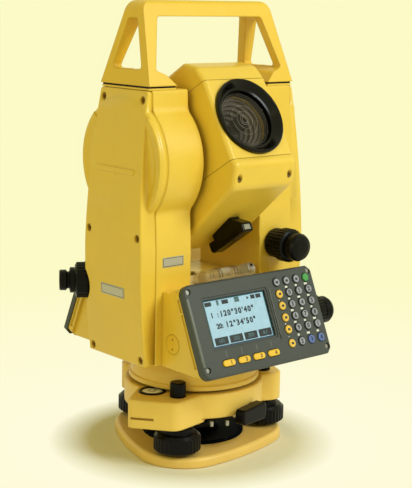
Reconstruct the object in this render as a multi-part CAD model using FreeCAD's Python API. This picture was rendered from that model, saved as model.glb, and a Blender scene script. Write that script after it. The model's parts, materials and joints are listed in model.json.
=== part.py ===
"""Surveying total station, one STEP file per piece.

Millimetres, +Z up. The origin is on the vertical axis at the underside of the base plate.
-Y is the front, where the main keyboard is. The telescope points to the front and up.
"""
import FreeCAD, Part
import math
import os

V = FreeCAD.Vector

# ---------------------------------------------------------------- driving dimensions
# Clearances
RUNNING = 0.05            # radial clearance of a shaft in its bearing
SLIP = 0.4                # gap round a moving key, plug or loose cover
SEAM = 0.3                # visible joint between two covers

# Vertical axis and foot screws. The screws stand just outside the skirt of the alidade.
SKIRT_R = 50.0
SKIRT_WALL = 4.0
AXIS_R = 9.0
SIGHT_BORE_R = 4.0        # clear way for the plummet's line of sight
CAP_R = 5.9
CAP_CLEARANCE = 1.1
FOOT_CIRCLE_R = SKIRT_R + CAP_CLEARANCE + CAP_R
FOOT_ANGLE = 52.0         # first foot screw, from -Y towards -X
FOOT_COUNT = 3

# Base plate and spring plate
PLATE_HEIGHT = 8.0
PLATE_CORNER_R = 36.3
PLATE_CORNER_OFFSET = FOOT_CIRCLE_R - 23.0
PLATE_SIDE_REACH = FOOT_CIRCLE_R - 1.0
PLATE_EDGE_R = 3.0
THREAD_HOLE_R = 6.8       # tapping bore of the 5/8 inch tripod thread
SOCKET_DEPTH = 4.5
SPRING_PLATE_R = 39.0
SPRING_PLATE_BORE_R = 11.0
SPRING_PLATE_THICKNESS = 2.4

# Foot screws
KNOB_R = 17.5
KNOB_GAP = 2.4
KNOB_HEIGHT = 17.6
KNOB_RIM_HEIGHT = 11.5
KNOB_NECK_R = 12.0
SPINDLE_R = 5.0
GRIP_DEPTH = 0.5
KNOB_BOTTOM = PLATE_HEIGHT + KNOB_GAP
KNOB_TOP = KNOB_BOTTOM + KNOB_HEIGHT

# Tribrach
TRIBRACH_GAP = 2.0
TRIBRACH_HEIGHT = 21.0
TRIBRACH_R = SKIRT_R + 3.3
TRIBRACH_BORE_R = 24.0
TRIBRACH_BOTTOM = KNOB_TOP + TRIBRACH_GAP
TRIBRACH_TOP = TRIBRACH_BOTTOM + TRIBRACH_HEIGHT
LOBE_HALF_WIDTH = 15.0
LOBE_CORNER_R = 12.0
LOBE_REACH = FOOT_CIRCLE_R + 13.0
LEVEL_LOBE_REACH = FOOT_CIRCLE_R + 17.6
LEVEL_LOBE_SPAN = 34.0
LEVEL_LOBE_ROOT = 23.0    # inside of the foot circle
LEVEL_LOBE_NECK = 9.0
LEVEL_LOBE_NECK_R = 6.0
LEVEL_LOBE_SHOULDER = 3.0
LEVEL_LOBE_NOSE = 4.0
LEVEL_LOBE_NOSE_R = 9.0
LEVEL_LOBE_TAIL_R = 5.0
CIRCULAR_LEVEL_R = 10.0
CIRCULAR_LEVEL_DEPTH = 8.0
CIRCULAR_LEVEL_RADIAL = FOOT_CIRCLE_R - 7.0
CIRCULAR_LEVEL_TANGENT = 21.0
CAP_HEIGHT = 11.0
LEVER_ANGLE = 12.0        # lock lever pivot, from -Y towards +X
LEVER_ABOVE = 4.6
LEVER_LENGTH = 29.0
LEVER_HEIGHT = 13.2
LEVER_DEPTH = 8.0
LEVER_PIN_R = 3.0
LEVER_Z = TRIBRACH_BOTTOM + LEVER_ABOVE

# Centring adapter, spindle, circle and skirt
ADAPTER_FLANGE_R = 36.0
ADAPTER_FLANGE = 1.5
ADAPTER_NECK_R = 15.0
ADAPTER_HEIGHT = 14.0
SPINDLE_DEPTH = 11.0
SPINDLE_HEAD = 2.5
CIRCLE_THICKNESS = 2.5
SKIRT_GAP = 2.0
SKIRT_HEIGHT = 23.4
SKIRT_ROOF = 6.4
SKIRT_BOTTOM = TRIBRACH_TOP + SKIRT_GAP
BODY_BOTTOM = SKIRT_BOTTOM + SKIRT_HEIGHT

# Standards, covers and platform
TRUNNION_HEIGHT = 145.2
TRUNNION_Z = BODY_BOTTOM + TRUNNION_HEIGHT
STANDARD_TOP = TRUNNION_Z + 51.9
SHOULDER_BELOW = 61.6
STANDARD_SHOULDER_Z = TRUNNION_Z - SHOULDER_BELOW
STANDARD_INNER_X = 33.7
STANDARD_OUTER_X = 66.0
STANDARD_BOTTOM_HALF_Y = 34.7
STANDARD_TOP_HALF_Y = 28.4
BULGE_R = 47.2
BULGE_BLEND_R = 9.0
BULGE_RISE = 6.0
COVER_BOTTOM_RISE = 8.5
COVER_MID_RISE = 13.2
COVER_TOP_RISE = 3.4
COVER_INSET = 1.0
COVER_BOTTOM_X = STANDARD_OUTER_X + COVER_BOTTOM_RISE
COVER_MID_X = STANDARD_OUTER_X + COVER_MID_RISE
COVER_TOP_X = STANDARD_OUTER_X + COVER_TOP_RISE
BULGE_OUTER_X = STANDARD_OUTER_X + BULGE_RISE
PLATFORM_HEIGHT = 54.6
PLATFORM_TOP = BODY_BOTTOM + PLATFORM_HEIGHT
AXLE_R = 8.0
AXLE_SEAT = 8.0           # wall left at the closed outer end of a standard
CIRCLE_R = 34.0
CIRCLE_AT = STANDARD_INNER_X + 12.3
SCREW_HEAD_R = 2.4
SCREW_HEAD_HEIGHT = 2.0
SCREW_SUNK = 1.2
COVER_SCREW_MARGIN = 6.3  # from the side edge of the cover
BATTERY_DEPTH = 14.0
BATTERY_HALF_Y = 22.0
BATTERY_ABOVE = 9.6
BATTERY_HEIGHT = 74.0
BATTERY_BOTTOM = BODY_BOTTOM + BATTERY_ABOVE

# Carrying handle
HANDLE_GAP = 2.5
HANDLE_HEIGHT = 59.0
HANDLE_BAR_THICKNESS = 11.3
HANDLE_BASE_X = 69.0
HANDLE_LEAN = 9.0         # how far each leg leans in on its way up
HANDLE_LEG_WIDTH = 10.2
HANDLE_FOOT_LENGTH = 25.3
HANDLE_FOOT_HEIGHT = 10.8
HANDLE_BASE_HALF_Y = 28.2
HANDLE_TOP_HALF_Y = 8.2
HANDLE_LEG_Y = 11.2       # depth of one leg of the triangle at its foot
HANDLE_CORNER_R = 9.0
HANDLE_SCREW_X = 62.5
HANDLE_SCREW_R = 3.4
HANDLE_BASE_Z = STANDARD_TOP + HANDLE_GAP
HANDLE_TOP = HANDLE_BASE_Z + HANDLE_HEIGHT
HANDLE_BAR_BOTTOM = HANDLE_TOP - HANDLE_BAR_THICKNESS
HANDLE_TOP_X = HANDLE_BASE_X - HANDLE_LEAN

# Keyboards: local x across, local y up the panel, local z out of it
PANEL_TILT = 23.85        # lean of the panel from the vertical, degrees
PANEL_OVERHANG = 51.8     # from the standards to the lower edge of the panel
PANEL_BOTTOM_Y = -STANDARD_BOTTOM_HALF_Y - PANEL_OVERHANG
PANEL_BOTTOM_Z = BODY_BOTTOM + 1.4
PANEL_WIDTH = 126.5
PANEL_HEIGHT = 68.2
PANEL_THICKNESS = 5.5
PANEL_CORNER_CUT = 4.0
PANEL_CORNER_R = 7.0
PANEL_EDGE = 1.3
LIP_THICKNESS = 5.5
LIP_INSET = 0.9
LIP_SLOT = 0.9
HOUSING_HALF_X = 60.0
DISPLAY_X = -17.9
DISPLAY_Y = 38.4
DISPLAY_WIDTH = 60.0
DISPLAY_HEIGHT = 34.4
DISPLAY_RIM = 1.6
DISPLAY_SUNK = 2.2
WINDOW_THICKNESS = 1.0
WINDOW_SUNK = 0.9
KEY_R = 3.1
KEY_FIRST_X = 24.6
KEY_PITCH_X = 10.05
KEY_PITCH_Y = 8.93
KEY_FIRST_Y = 59.2
KEY_LAST_Y = 13.0
KEY_COLUMNS = 4
KEY_ROWS = 5
KEY_ROWS_Y = [KEY_FIRST_Y - KEY_PITCH_Y * row for row in range(KEY_ROWS)] + [KEY_LAST_Y]
KEY_RISE = 1.2
KEY_TRAVEL = 0.8
SOFT_KEY_FIRST_X = -38.5
SOFT_KEY_PITCH = 14.4
SOFT_KEY_Y = 9.2
SOFT_KEY_LENGTH = 11.2
SOFT_KEY_HEIGHT = 4.6
SOFT_KEY_COUNT = 4
MAT_THICKNESS = 1.0
MAT_MARGIN = 4.5
MOVING_KEY_BOTTOM = -PANEL_THICKNESS + KEY_TRAVEL + 0.3
PANEL_SCREW_INSET = 4.6
SCREW_WELL_R = 2.2
SCREW_WELL_DEPTH = 3.0
PORT_R = 7.4
PORT_Y = -STANDARD_BOTTOM_HALF_Y - 11.8
PORT_Z = BODY_BOTTOM + 18.6

# Plate level
LEVEL_SHELF_Y = -41.0
LEVEL_Y = LEVEL_SHELF_Y + 8.0
LEVEL_LENGTH = 50.0
LEVEL_R = 5.2
LEVEL_HALF_WIDTH = 7.0
LEVEL_END = 4.0
LEVEL_Z = PLATFORM_TOP + LEVEL_R + 0.2

# Optical plummet: leaves the standard at its back left corner
PLUMMET_EXIT_X = 53.43    # where its axis crosses the back plane of the standard
PLUMMET_ANGLE = math.degrees(math.atan2(STANDARD_BOTTOM_HALF_Y, PLUMMET_EXIT_X))
PLUMMET_BELOW = 4.0
PLUMMET_Z = PLATFORM_TOP - PLUMMET_BELOW
PLUMMET_TUBE_R = 8.0
PLUMMET_BEARING_R = 5.0
PLUMMET_FLANGE_AT = math.hypot(STANDARD_BOTTOM_HALF_Y, PLUMMET_EXIT_X) + 0.3
PLUMMET_RING_AT = PLUMMET_FLANGE_AT + 16.5
PLUMMET_RING_R = 13.5
PLUMMET_RING_LENGTH = 11.1
PLUMMET_EYE_AT = PLUMMET_RING_AT + PLUMMET_RING_LENGTH
PLUMMET_EYE_LENGTH = 11.4
PLUMMET_EYE_R = 9.6
PLUMMET_END_AT = PLUMMET_EYE_AT + PLUMMET_EYE_LENGTH
PLUMMET_RECESS_R = 15.0
COVER_NOTCH_R = 19.5

# Motion clamps and tangent screws
V_DRIVE_X = 48.5
V_DRIVE_BELOW = 66.3
V_DRIVE_Z = TRUNNION_Z - V_DRIVE_BELOW
V_DRIVE_START = -STANDARD_BOTTOM_HALF_Y - 0.2
H_DRIVE_Y = -STANDARD_BOTTOM_HALF_Y - 16.8
H_DRIVE_Z = BODY_BOTTOM + 23.9
H_DRIVE_START = HOUSING_HALF_X + 0.6
CLAMP_LENGTH = 9.0
CLAMP_R = 11.2
TANGENT_R = 12.7
TANGENT_RIM = 10.0
TANGENT_LENGTH = 21.2
DRIVE_ROD_R = 3.0
DRIVE_ROD_DEPTH = 12.0
DRIVE_GAP = 0.4

# Telescope: local x along the sight line, local y up, local z across
TELESCOPE_TILT = 30.8
TELESCOPE_HALF_WIDTH = 29.5
TELESCOPE_SIDE_R = 3.2
UPPER_SEAM = 30.0
LOWER_SEAM = -31.0
FACE_AT = 64.3
BACK_AT = -45.0
CASING_TOP = 51.5
CASING_CROWN = 55.0       # start of the flat top, from the back
CASING_BOTTOM_FRONT = -50.0
CASING_BOTTOM_BACK = -65.0
OBJECTIVE_R = 29.2
OBJECTIVE_RISE = 3.2
OBJECTIVE_DEPTH = 8.3
OBJECTIVE_FRONT = FACE_AT + OBJECTIVE_RISE
OBJECTIVE_BACK = FACE_AT - OBJECTIVE_DEPTH
LENS_R = 22.0
LENS_THICKNESS = 3.0
LENS_AT = OBJECTIVE_FRONT - 8.9
TUBE_R = 20.5
TUBE_DEPTH_AT = 20.0
BAFFLE_COUNT = 6
BAFFLE_PITCH = 3.2
BAFFLE_STEP = 2.1
LASER_TUBE_R = 4.5
SIGHT_HALF_WIDTH = 5.0
SIGHT_DROP = 8.8          # lowest point of the sight below the casing
FOCUS_R = 22.5
FOCUS_LENGTH = 15.0
EYEPIECE_R = 15.0
EYEPIECE_LENGTH = 35.0
DRAW_TUBE_R = 10.0
CASING_SCREW_R = 1.6
AXLE_INNER_AT = TELESCOPE_HALF_WIDTH - 6.0


# ---------------------------------------------------------------- shape helpers
def rounded_wire(corners):
    """Closed wire in the XY plane through (x, y, radius) corners, each rounded by its radius."""
    arcs = []
    for i, (x, y, radius) in enumerate(corners):
        here = V(x, y, 0)
        back = V(*corners[i - 1][:2], 0) - here
        ahead = V(*corners[(i + 1) % len(corners)][:2], 0) - here
        back.normalize()
        ahead.normalize()
        half = back.getAngle(ahead) / 2
        run = radius / math.tan(half)
        middle = (back + ahead).normalize() * (radius / math.sin(half) - radius)
        arcs.append((here + back * run, here + middle, here + ahead * run, radius))
    edges = []
    for i, (start, middle, end, radius) in enumerate(arcs):
        if radius > 0:
            edges.append(Part.Arc(start, middle, end).toShape())
        following = arcs[(i + 1) % len(arcs)][0]
        if (following - end).Length > 1e-6:
            edges.append(Part.makeLine(end, following))
    return Part.Wire(edges)


def slab(corners, low, high):
    """Rounded outline in the XY plane, extruded from z = low to z = high."""
    face = Part.Face(rounded_wire(corners))
    face.translate(V(0, 0, low))
    return face.extrude(V(0, 0, high - low))


def rectangle(x0, y0, x1, y1, radius=0.0):
    """Corners of a rectangle, for slab()."""
    return [(x0, y0, radius), (x1, y0, radius), (x1, y1, radius), (x0, y1, radius)]


def rod(radius, low, high, x=0.0, y=0.0):
    """Cylinder along Z."""
    return Part.makeCylinder(radius, high - low, V(x, y, low))


def turned(profile):
    """Solid of revolution about Z from (radius, height) points."""
    points = [V(radius, 0, height) for radius, height in profile]
    face = Part.Face(Part.makePolygon(points + points[:1]))
    return face.revolve(V(0, 0, 0), V(0, 0, 1), 360)


def fluted(radius, depth, count, low, high):
    """Prism with a grip of V grooves: its outline runs between radius and radius - depth."""
    points = []
    for i in range(2 * count):
        reach = radius if i % 2 else radius - depth
        angle = math.pi * i / count
        points.append(V(reach * math.cos(angle), reach * math.sin(angle), low))
    face = Part.Face(Part.makePolygon(points + points[:1]))
    return face.extrude(V(0, 0, high - low))


def edges_at(shape, level):
    """Edges that lie in the plane z = level."""
    return [edge for edge in shape.Edges
            if abs(edge.BoundBox.ZMin - level) < 1e-3 and abs(edge.BoundBox.ZMax - level) < 1e-3]


def place(shape, origin, x_dir, z_dir):
    """Move a shape so that its own X and Z axes point along x_dir and z_dir."""
    x_axis = V(*x_dir)
    z_axis = V(*z_dir)
    turn = FreeCAD.Rotation(x_axis, z_axis.cross(x_axis), z_axis, "ZXY")
    return shape.transformed(FreeCAD.Placement(V(*origin), turn).toMatrix(), True)


def spun(shape, degrees):
    """Copy of a shape turned about the vertical axis."""
    turn = FreeCAD.Rotation(V(0, 0, 1), degrees)
    return shape.transformed(FreeCAD.Placement(V(0, 0, 0), turn).toMatrix(), True)


def joined(shapes):
    """One solid from overlapping shapes."""
    return shapes[0].fuse(shapes[1:]).removeSplitter()


def write(name, shape):
    """Save one piece, as a solid or as a group of separate solids."""
    solids = shape.Solids
    body = solids[0] if len(solids) == 1 else Part.makeCompound(solids)
    body.exportStep("parts/" + name + ".step")


# ---------------------------------------------------------------- tribrach
def at_foot(shape, index):
    """Move a shape drawn with +X radial on to the radial line of a foot screw."""
    return spun(shape, -90.0 - FOOT_ANGLE + index * 360.0 / FOOT_COUNT)


def plate_outline():
    """Triangle of three round corners joined by slightly bowed sides, all tangent."""
    half_step = math.pi / FOOT_COUNT
    rest = PLATE_SIDE_REACH - PLATE_CORNER_R
    bow = (PLATE_CORNER_OFFSET ** 2 - rest ** 2) / (2 * (rest - PLATE_CORNER_OFFSET * math.cos(half_step)))
    centre = V(-bow * math.cos(half_step), -bow * math.sin(half_step), 0)
    outward = V(PLATE_CORNER_OFFSET, 0, 0) - centre
    joint = centre + outward.normalize() * (PLATE_SIDE_REACH + bow)
    before = V(joint.x, -joint.y, 0)
    side = V(PLATE_SIDE_REACH * math.cos(half_step), PLATE_SIDE_REACH * math.sin(half_step), 0)
    turn = FreeCAD.Rotation(V(0, 0, 1), 360.0 / FOOT_COUNT)
    start = FreeCAD.Rotation(V(0, 0, 1), -90.0 - FOOT_ANGLE)
    edges = []
    for index in range(FOOT_COUNT):
        apex = V(PLATE_CORNER_OFFSET + PLATE_CORNER_R, 0, 0)
        points = [before, apex, joint, side, turn.multVec(before)]
        points = [start.multVec(point) for point in points]
        edges.append(Part.Arc(points[0], points[1], points[2]).toShape())
        edges.append(Part.Arc(points[2], points[3], points[4]).toShape())
        start = start.multiply(turn)
    return Part.Wire(edges)


def base_plate():
    plate = Part.Face(plate_outline()).extrude(V(0, 0, PLATE_HEIGHT))
    plate = plate.makeFillet(PLATE_EDGE_R, edges_at(plate, PLATE_HEIGHT))
    plate = plate.makeChamfer(0.8, edges_at(plate, 0))
    plate = plate.cut(rod(THREAD_HOLE_R, -1, PLATE_HEIGHT + 1))
    for index in range(FOOT_COUNT):
        socket = rod(SPINDLE_R + RUNNING, PLATE_HEIGHT - SOCKET_DEPTH, PLATE_HEIGHT + 1, FOOT_CIRCLE_R)
        plate = plate.cut(at_foot(socket, index))
    return plate


def spring_plate():
    """Flat disc that pulls the foot screws down, with a hub under the centring adapter."""
    top = PLATE_HEIGHT + SPRING_PLATE_THICKNESS
    hub_r = ADAPTER_NECK_R + 3.0
    hub_top = top + 3.6
    return turned([(SPRING_PLATE_BORE_R, PLATE_HEIGHT), (SPRING_PLATE_R, PLATE_HEIGHT), (SPRING_PLATE_R, top - 0.8),
                   (SPRING_PLATE_R - 0.8, top), (hub_r + 3, top), (hub_r, hub_top), (SPRING_PLATE_BORE_R, hub_top)])


def foot_screw(index):
    """Moulded knob with a grip rim, on its spindle."""
    rim_top = KNOB_BOTTOM + KNOB_RIM_HEIGHT
    core = KNOB_R - 1.4 * GRIP_DEPTH
    knob = joined([fluted(KNOB_R, GRIP_DEPTH, 32, KNOB_BOTTOM + 1.5, rim_top),
                   turned([(0, KNOB_BOTTOM), (core - 1.5, KNOB_BOTTOM), (core, KNOB_BOTTOM + 1.5), (core, rim_top),
                           (core - 1.9, rim_top + 2.2), (KNOB_NECK_R, rim_top + 2.8),
                           (KNOB_NECK_R, KNOB_TOP), (0, KNOB_TOP)])])
    spindle_bottom = PLATE_HEIGHT - SOCKET_DEPTH + 0.2
    spindle = rod(SPINDLE_R, spindle_bottom, TRIBRACH_TOP - 0.6)
    spindle = spindle.makeChamfer(1.2, edges_at(spindle, spindle_bottom))
    screw = joined([knob, spindle])
    screw.translate(V(FOOT_CIRCLE_R, 0, 0))
    return at_foot(screw, index)


def tribrach_body():
    """Round body with two plain lobes and one wide lobe that carries the circular level."""
    inside = TRIBRACH_BORE_R - 4
    body = rod(TRIBRACH_R, TRIBRACH_BOTTOM + 3, TRIBRACH_TOP)
    plain = [(inside, -LOBE_HALF_WIDTH, 0), (LOBE_REACH, -LOBE_HALF_WIDTH, LOBE_CORNER_R),
             (LOBE_REACH, LOBE_HALF_WIDTH, LOBE_CORNER_R), (inside, LOBE_HALF_WIDTH, 0)]
    shoulder = LOBE_HALF_WIDTH + LEVEL_LOBE_SHOULDER
    level_lobe = [(inside, shoulder, 0), (FOOT_CIRCLE_R - LEVEL_LOBE_NECK, shoulder, LEVEL_LOBE_NECK_R),
                  (LEVEL_LOBE_REACH, LEVEL_LOBE_NOSE, LEVEL_LOBE_NOSE_R),
                  (LEVEL_LOBE_REACH, -LEVEL_LOBE_SPAN, LEVEL_LOBE_TAIL_R),
                  (FOOT_CIRCLE_R - LEVEL_LOBE_ROOT, -LEVEL_LOBE_SPAN, 0)]
    lobes = [at_foot(slab(level_lobe if index == 0 else plain, TRIBRACH_BOTTOM, TRIBRACH_TOP), index)
             for index in range(FOOT_COUNT)]
    body = joined([body] + lobes)
    body = body.makeChamfer(1.0, edges_at(body, TRIBRACH_TOP))
    body = body.cut(rod(TRIBRACH_BORE_R, TRIBRACH_BOTTOM - 1, TRIBRACH_TOP + 1))
    for index in range(FOOT_COUNT):
        bore = rod(SPINDLE_R + RUNNING, TRIBRACH_BOTTOM - 1, TRIBRACH_TOP + 1, FOOT_CIRCLE_R)
        body = body.cut(at_foot(bore, index))
    well = rod(CIRCULAR_LEVEL_R, TRIBRACH_TOP - CIRCULAR_LEVEL_DEPTH, TRIBRACH_TOP + 1,
               CIRCULAR_LEVEL_RADIAL, -CIRCULAR_LEVEL_TANGENT)
    slot_length = LEVEL_LOBE_SPAN / 2
    slot = Part.makeBox(6, slot_length, 1.6, V(LEVEL_LOBE_REACH - 3, 3 - LEVEL_LOBE_SPAN, TRIBRACH_BOTTOM + 6.5))
    lever_pivot = place(rod(LEVER_PIN_R + RUNNING, TRIBRACH_BORE_R + 6, TRIBRACH_R + 30),
                        (0, 0, LEVER_Z), (0, 0, 1), lever_direction())
    return body.cut([at_foot(well, 0), at_foot(slot, 0), lever_pivot])


def foot_screw_caps():
    caps = []
    top = TRIBRACH_TOP + CAP_HEIGHT
    for index in range(FOOT_COUNT):
        cap = rod(CAP_R, TRIBRACH_TOP, top, FOOT_CIRCLE_R)
        caps.append(at_foot(cap.makeFillet(1.2, edges_at(cap, top)), index))
    return Part.makeCompound(caps)


def circular_level_housing():
    rim = CIRCULAR_LEVEL_R - 2.2
    floor = -CIRCULAR_LEVEL_DEPTH + 3.5
    housing = turned([(0, -CIRCULAR_LEVEL_DEPTH), (CIRCULAR_LEVEL_R, -CIRCULAR_LEVEL_DEPTH), (CIRCULAR_LEVEL_R, 0.4),
                      (CIRCULAR_LEVEL_R - 0.6, 1.0), (rim, 1.0), (rim, floor), (0, floor)])
    housing.translate(V(CIRCULAR_LEVEL_RADIAL, -CIRCULAR_LEVEL_TANGENT, TRIBRACH_TOP))
    return at_foot(housing, 0)


def circular_level_vial():
    radius = CIRCULAR_LEVEL_R - 2.3
    floor = -CIRCULAR_LEVEL_DEPTH + 3.5
    vial = turned([(0, floor), (radius, floor), (radius, 0.2), (radius * 0.6, 0.6), (0, 0.8)])
    vial.translate(V(CIRCULAR_LEVEL_RADIAL, -CIRCULAR_LEVEL_TANGENT, TRIBRACH_TOP))
    return at_foot(vial, 0)


def lever_direction():
    angle = math.radians(LEVER_ANGLE)
    return (math.sin(angle), -math.cos(angle), 0)


def lock_lever():
    """Arm that lies along the tribrach wall, on a radial pivot pin. Local X points up."""
    wall = TRIBRACH_R + 1.2
    half = LEVER_HEIGHT / 2
    arm_at = wall + 2
    arm = slab([(-half, -half, 3), (half, -half, 3), (half - 1, LEVER_LENGTH - half, 3),
                (1 - half, LEVER_LENGTH - half, 3)], arm_at, arm_at + LEVER_DEPTH)
    arm = arm.makeFillet(1.5, edges_at(arm, arm_at + LEVER_DEPTH))
    hub = rod(half - 1, wall, arm_at + 1)
    pin = rod(LEVER_PIN_R, TRIBRACH_BORE_R + 16, arm_at + 1)
    lever = joined([arm, hub, pin])
    return place(lever, (0, 0, LEVER_Z), (0, 0, 1), lever_direction())


def centring_adapter():
    """Fixed foot of the instrument, held in the tribrach, with the spindle bearing."""
    bottom = TRIBRACH_BOTTOM + 8
    flange_top = TRIBRACH_TOP + ADAPTER_FLANGE
    top = TRIBRACH_TOP + ADAPTER_HEIGHT
    bore = AXIS_R + RUNNING
    plug_r = TRIBRACH_BORE_R - 0.2
    return turned([(bore, bottom), (plug_r, bottom), (plug_r, TRIBRACH_TOP), (ADAPTER_FLANGE_R, TRIBRACH_TOP),
                   (ADAPTER_FLANGE_R, flange_top), (ADAPTER_NECK_R, flange_top), (ADAPTER_NECK_R, top), (bore, top)])


def horizontal_circle():
    low = TRIBRACH_TOP + ADAPTER_HEIGHT / 2
    high = low + CIRCLE_THICKNESS
    return turned([(ADAPTER_NECK_R, low), (ADAPTER_FLANGE_R, low), (ADAPTER_FLANGE_R, high), (ADAPTER_NECK_R, high)])


# ---------------------------------------------------------------- alidade: axis, platform, standards
def vertical_spindle():
    """Spindle with a head that is held under the roof of the skirt."""
    roof = BODY_BOTTOM - SKIRT_ROOF
    head = roof - SPINDLE_HEAD
    bottom = TRIBRACH_TOP - SPINDLE_DEPTH
    return turned([(SIGHT_BORE_R, bottom), (AXIS_R, bottom), (AXIS_R, head), (ADAPTER_NECK_R + 1, head),
                   (ADAPTER_NECK_R + 1, roof), (SIGHT_BORE_R, roof)])


def alidade_skirt():
    wall = SKIRT_R - SKIRT_WALL
    rim_top = SKIRT_BOTTOM + 3.2
    roof = BODY_BOTTOM - SKIRT_ROOF
    return turned([(wall, SKIRT_BOTTOM), (SKIRT_R, SKIRT_BOTTOM), (SKIRT_R, rim_top), (SKIRT_R - 1.3, rim_top + 0.8),
                   (SKIRT_R - 2.6, rim_top + 8), (SKIRT_R - 5, rim_top + 14), (SKIRT_R - 8, BODY_BOTTOM),
                   (SIGHT_BORE_R, BODY_BOTTOM), (SIGHT_BORE_R, roof), (wall - 4, roof), (wall, roof - 4)])


def alidade_platform():
    half = STANDARD_BOTTOM_HALF_Y - 0.7
    corners = rectangle(-STANDARD_INNER_X, -half, STANDARD_INNER_X, half)
    deck = slab(corners, BODY_BOTTOM, PLATFORM_TOP)
    line_of_sight = rod(SIGHT_BORE_R, BODY_BOTTOM - 1, PLUMMET_Z)
    return deck.cut([line_of_sight, along_plummet(rod(PLUMMET_TUBE_R, 0, PLUMMET_FLANGE_AT + 6))])


def standard_outline(inset):
    """Side view of a standard as (y, z, radius) corners, without its trunnion bulge."""
    wide = STANDARD_BOTTOM_HALF_Y - inset
    narrow = STANDARD_TOP_HALF_Y - inset
    low = BODY_BOTTOM + inset * 0.5
    high = STANDARD_TOP - inset * 0.5
    return [(-wide, low, 1.5), (wide, low, 1.5), (wide, STANDARD_SHOULDER_Z, 60), (narrow, high, 2),
            (-narrow, high, 2), (-wide, STANDARD_SHOULDER_Z, 60)]


def across(shape):
    """Stand up a shape drawn with local X along Y and local Y along Z. Its extrusion runs along X."""
    return place(shape, (0, 0, 0), (0, 1, 0), (1, 0, 0))


def standard_block(inset, low, high):
    """Standard with its round trunnion bulge, extruded along X between two planes."""
    straight = Part.Face(rounded_wire(standard_outline(inset)))
    bulge = Part.Face(Part.Wire(Part.makeCircle(BULGE_R - inset, V(0, TRUNNION_Z, 0))))
    outline = straight.fuse(bulge).removeSplitter().Faces[0]
    outline.translate(V(0, 0, low))
    block = outline.extrude(V(0, 0, high - low))
    corners = []
    for edge in block.Edges:
        middle = edge.BoundBox.Center
        reach = math.hypot(middle.x, middle.y - TRUNNION_Z)
        if edge.BoundBox.ZLength > 1 and abs(reach - BULGE_R + inset) < 0.01 and abs(middle.x) < 40:
            corners.append(edge)
    return block.makeFillet(BULGE_BLEND_R, corners)


def standard(side):
    """Die-cast standard. side is -1 for the left one and 1 for the right one."""
    block = standard_block(0, STANDARD_INNER_X, STANDARD_OUTER_X)
    block = block.makeChamfer(0.5, edges_at(block, STANDARD_OUTER_X))
    block = block.makeChamfer(1.0, edges_at(block, STANDARD_INNER_X))
    bore = rod(AXLE_R + RUNNING, STANDARD_INNER_X - 1, STANDARD_OUTER_X - AXLE_SEAT + 2, 0, TRUNNION_Z)
    block = block.cut(bore)
    if side < 0:
        chamber = CIRCLE_AT - 2
        block = block.cut(rod(CIRCLE_R + 2, chamber, chamber + CIRCLE_THICKNESS + 3.5, 0, TRUNNION_Z))
    block = across(block)
    if side < 0:
        block = block.mirror(V(0, 0, 0), V(1, 0, 0))
        block = block.cut([along_plummet(rod(PLUMMET_TUBE_R, 0, PLUMMET_FLANGE_AT + 16)),
                           along_plummet(rod(PLUMMET_RECESS_R, PLUMMET_FLANGE_AT, 2 * PLUMMET_FLANGE_AT))])
    else:
        depth = DRIVE_ROD_DEPTH + 2
        rod_hole = place(rod(DRIVE_ROD_R + RUNNING, -depth, 1), (V_DRIVE_X, V_DRIVE_START, V_DRIVE_Z),
                         (1, 0, 0), (0, -1, 0))
        battery_bay = Part.makeBox(BATTERY_DEPTH + 4, 2 * BATTERY_HALF_Y, BATTERY_HEIGHT,
                                   V(STANDARD_OUTER_X - BATTERY_DEPTH, -BATTERY_HALF_Y, BATTERY_BOTTOM))
        block = block.cut([rod_hole, battery_bay])
    return block


def barrel(offset):
    """Lens-shaped block whose outer side is the barrel curve of the side covers."""
    middle_z = (BODY_BOTTOM + STANDARD_TOP) / 2
    reach = 2 * STANDARD_BOTTOM_HALF_Y
    start = V(COVER_BOTTOM_X + offset, -reach, BODY_BOTTOM)
    middle = V(COVER_MID_X + offset, -reach, middle_z)
    end = V(COVER_TOP_X + offset, -reach, STANDARD_TOP)
    inner_low = V(STANDARD_OUTER_X, -reach, BODY_BOTTOM)
    inner_high = V(STANDARD_OUTER_X, -reach, STANDARD_TOP)
    wire = Part.Wire([Part.Arc(start, middle, end).toShape(), Part.makeLine(end, inner_high),
                      Part.makeLine(inner_high, inner_low), Part.makeLine(inner_low, start)])
    return Part.Face(wire).extrude(V(0, 2 * reach, 0))


def cover_x(z):
    """Distance of the cover's outer face from the centre plane at a height."""
    middle_z = (BODY_BOTTOM + STANDARD_TOP) / 2
    half = (STANDARD_TOP - BODY_BOTTOM) / 2
    share = (z - middle_z) / half
    chord = (COVER_BOTTOM_X + COVER_TOP_X) / 2 + (COVER_TOP_X - COVER_BOTTOM_X) / 2 * share
    return chord + (COVER_MID_X - (COVER_BOTTOM_X + COVER_TOP_X) / 2) * (1 - share * share)


def cover_screw_places():
    """(y, z) of the six screws of a side cover."""
    low = STANDARD_BOTTOM_HALF_Y - COVER_SCREW_MARGIN
    high = STANDARD_TOP_HALF_Y + 0.4 - COVER_SCREW_MARGIN
    rows = [(BODY_BOTTOM + 5.1, low), (STANDARD_SHOULDER_Z + 10.5, low), (STANDARD_TOP - 7.0, high)]
    return [(side * half_y, z) for z, half_y in rows for side in (-1, 1)]


def cover_screw_holes():
    """Countersunk seats of the screws of the right cover."""
    holes = []
    radius = SCREW_HEAD_R + 0.2
    for y, z in cover_screw_places():
        face = cover_x(z)
        seat = turned([(0, face - SCREW_SUNK - SCREW_HEAD_HEIGHT), (radius, face - SCREW_SUNK - SCREW_HEAD_HEIGHT),
                       (radius, face - SCREW_SUNK), (radius + 0.9, face + 0.6), (0, face + 0.6)])
        holes.append(place(seat, (0, y, z), (0, 0, 1), (1, 0, 0)))
    return holes


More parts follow.
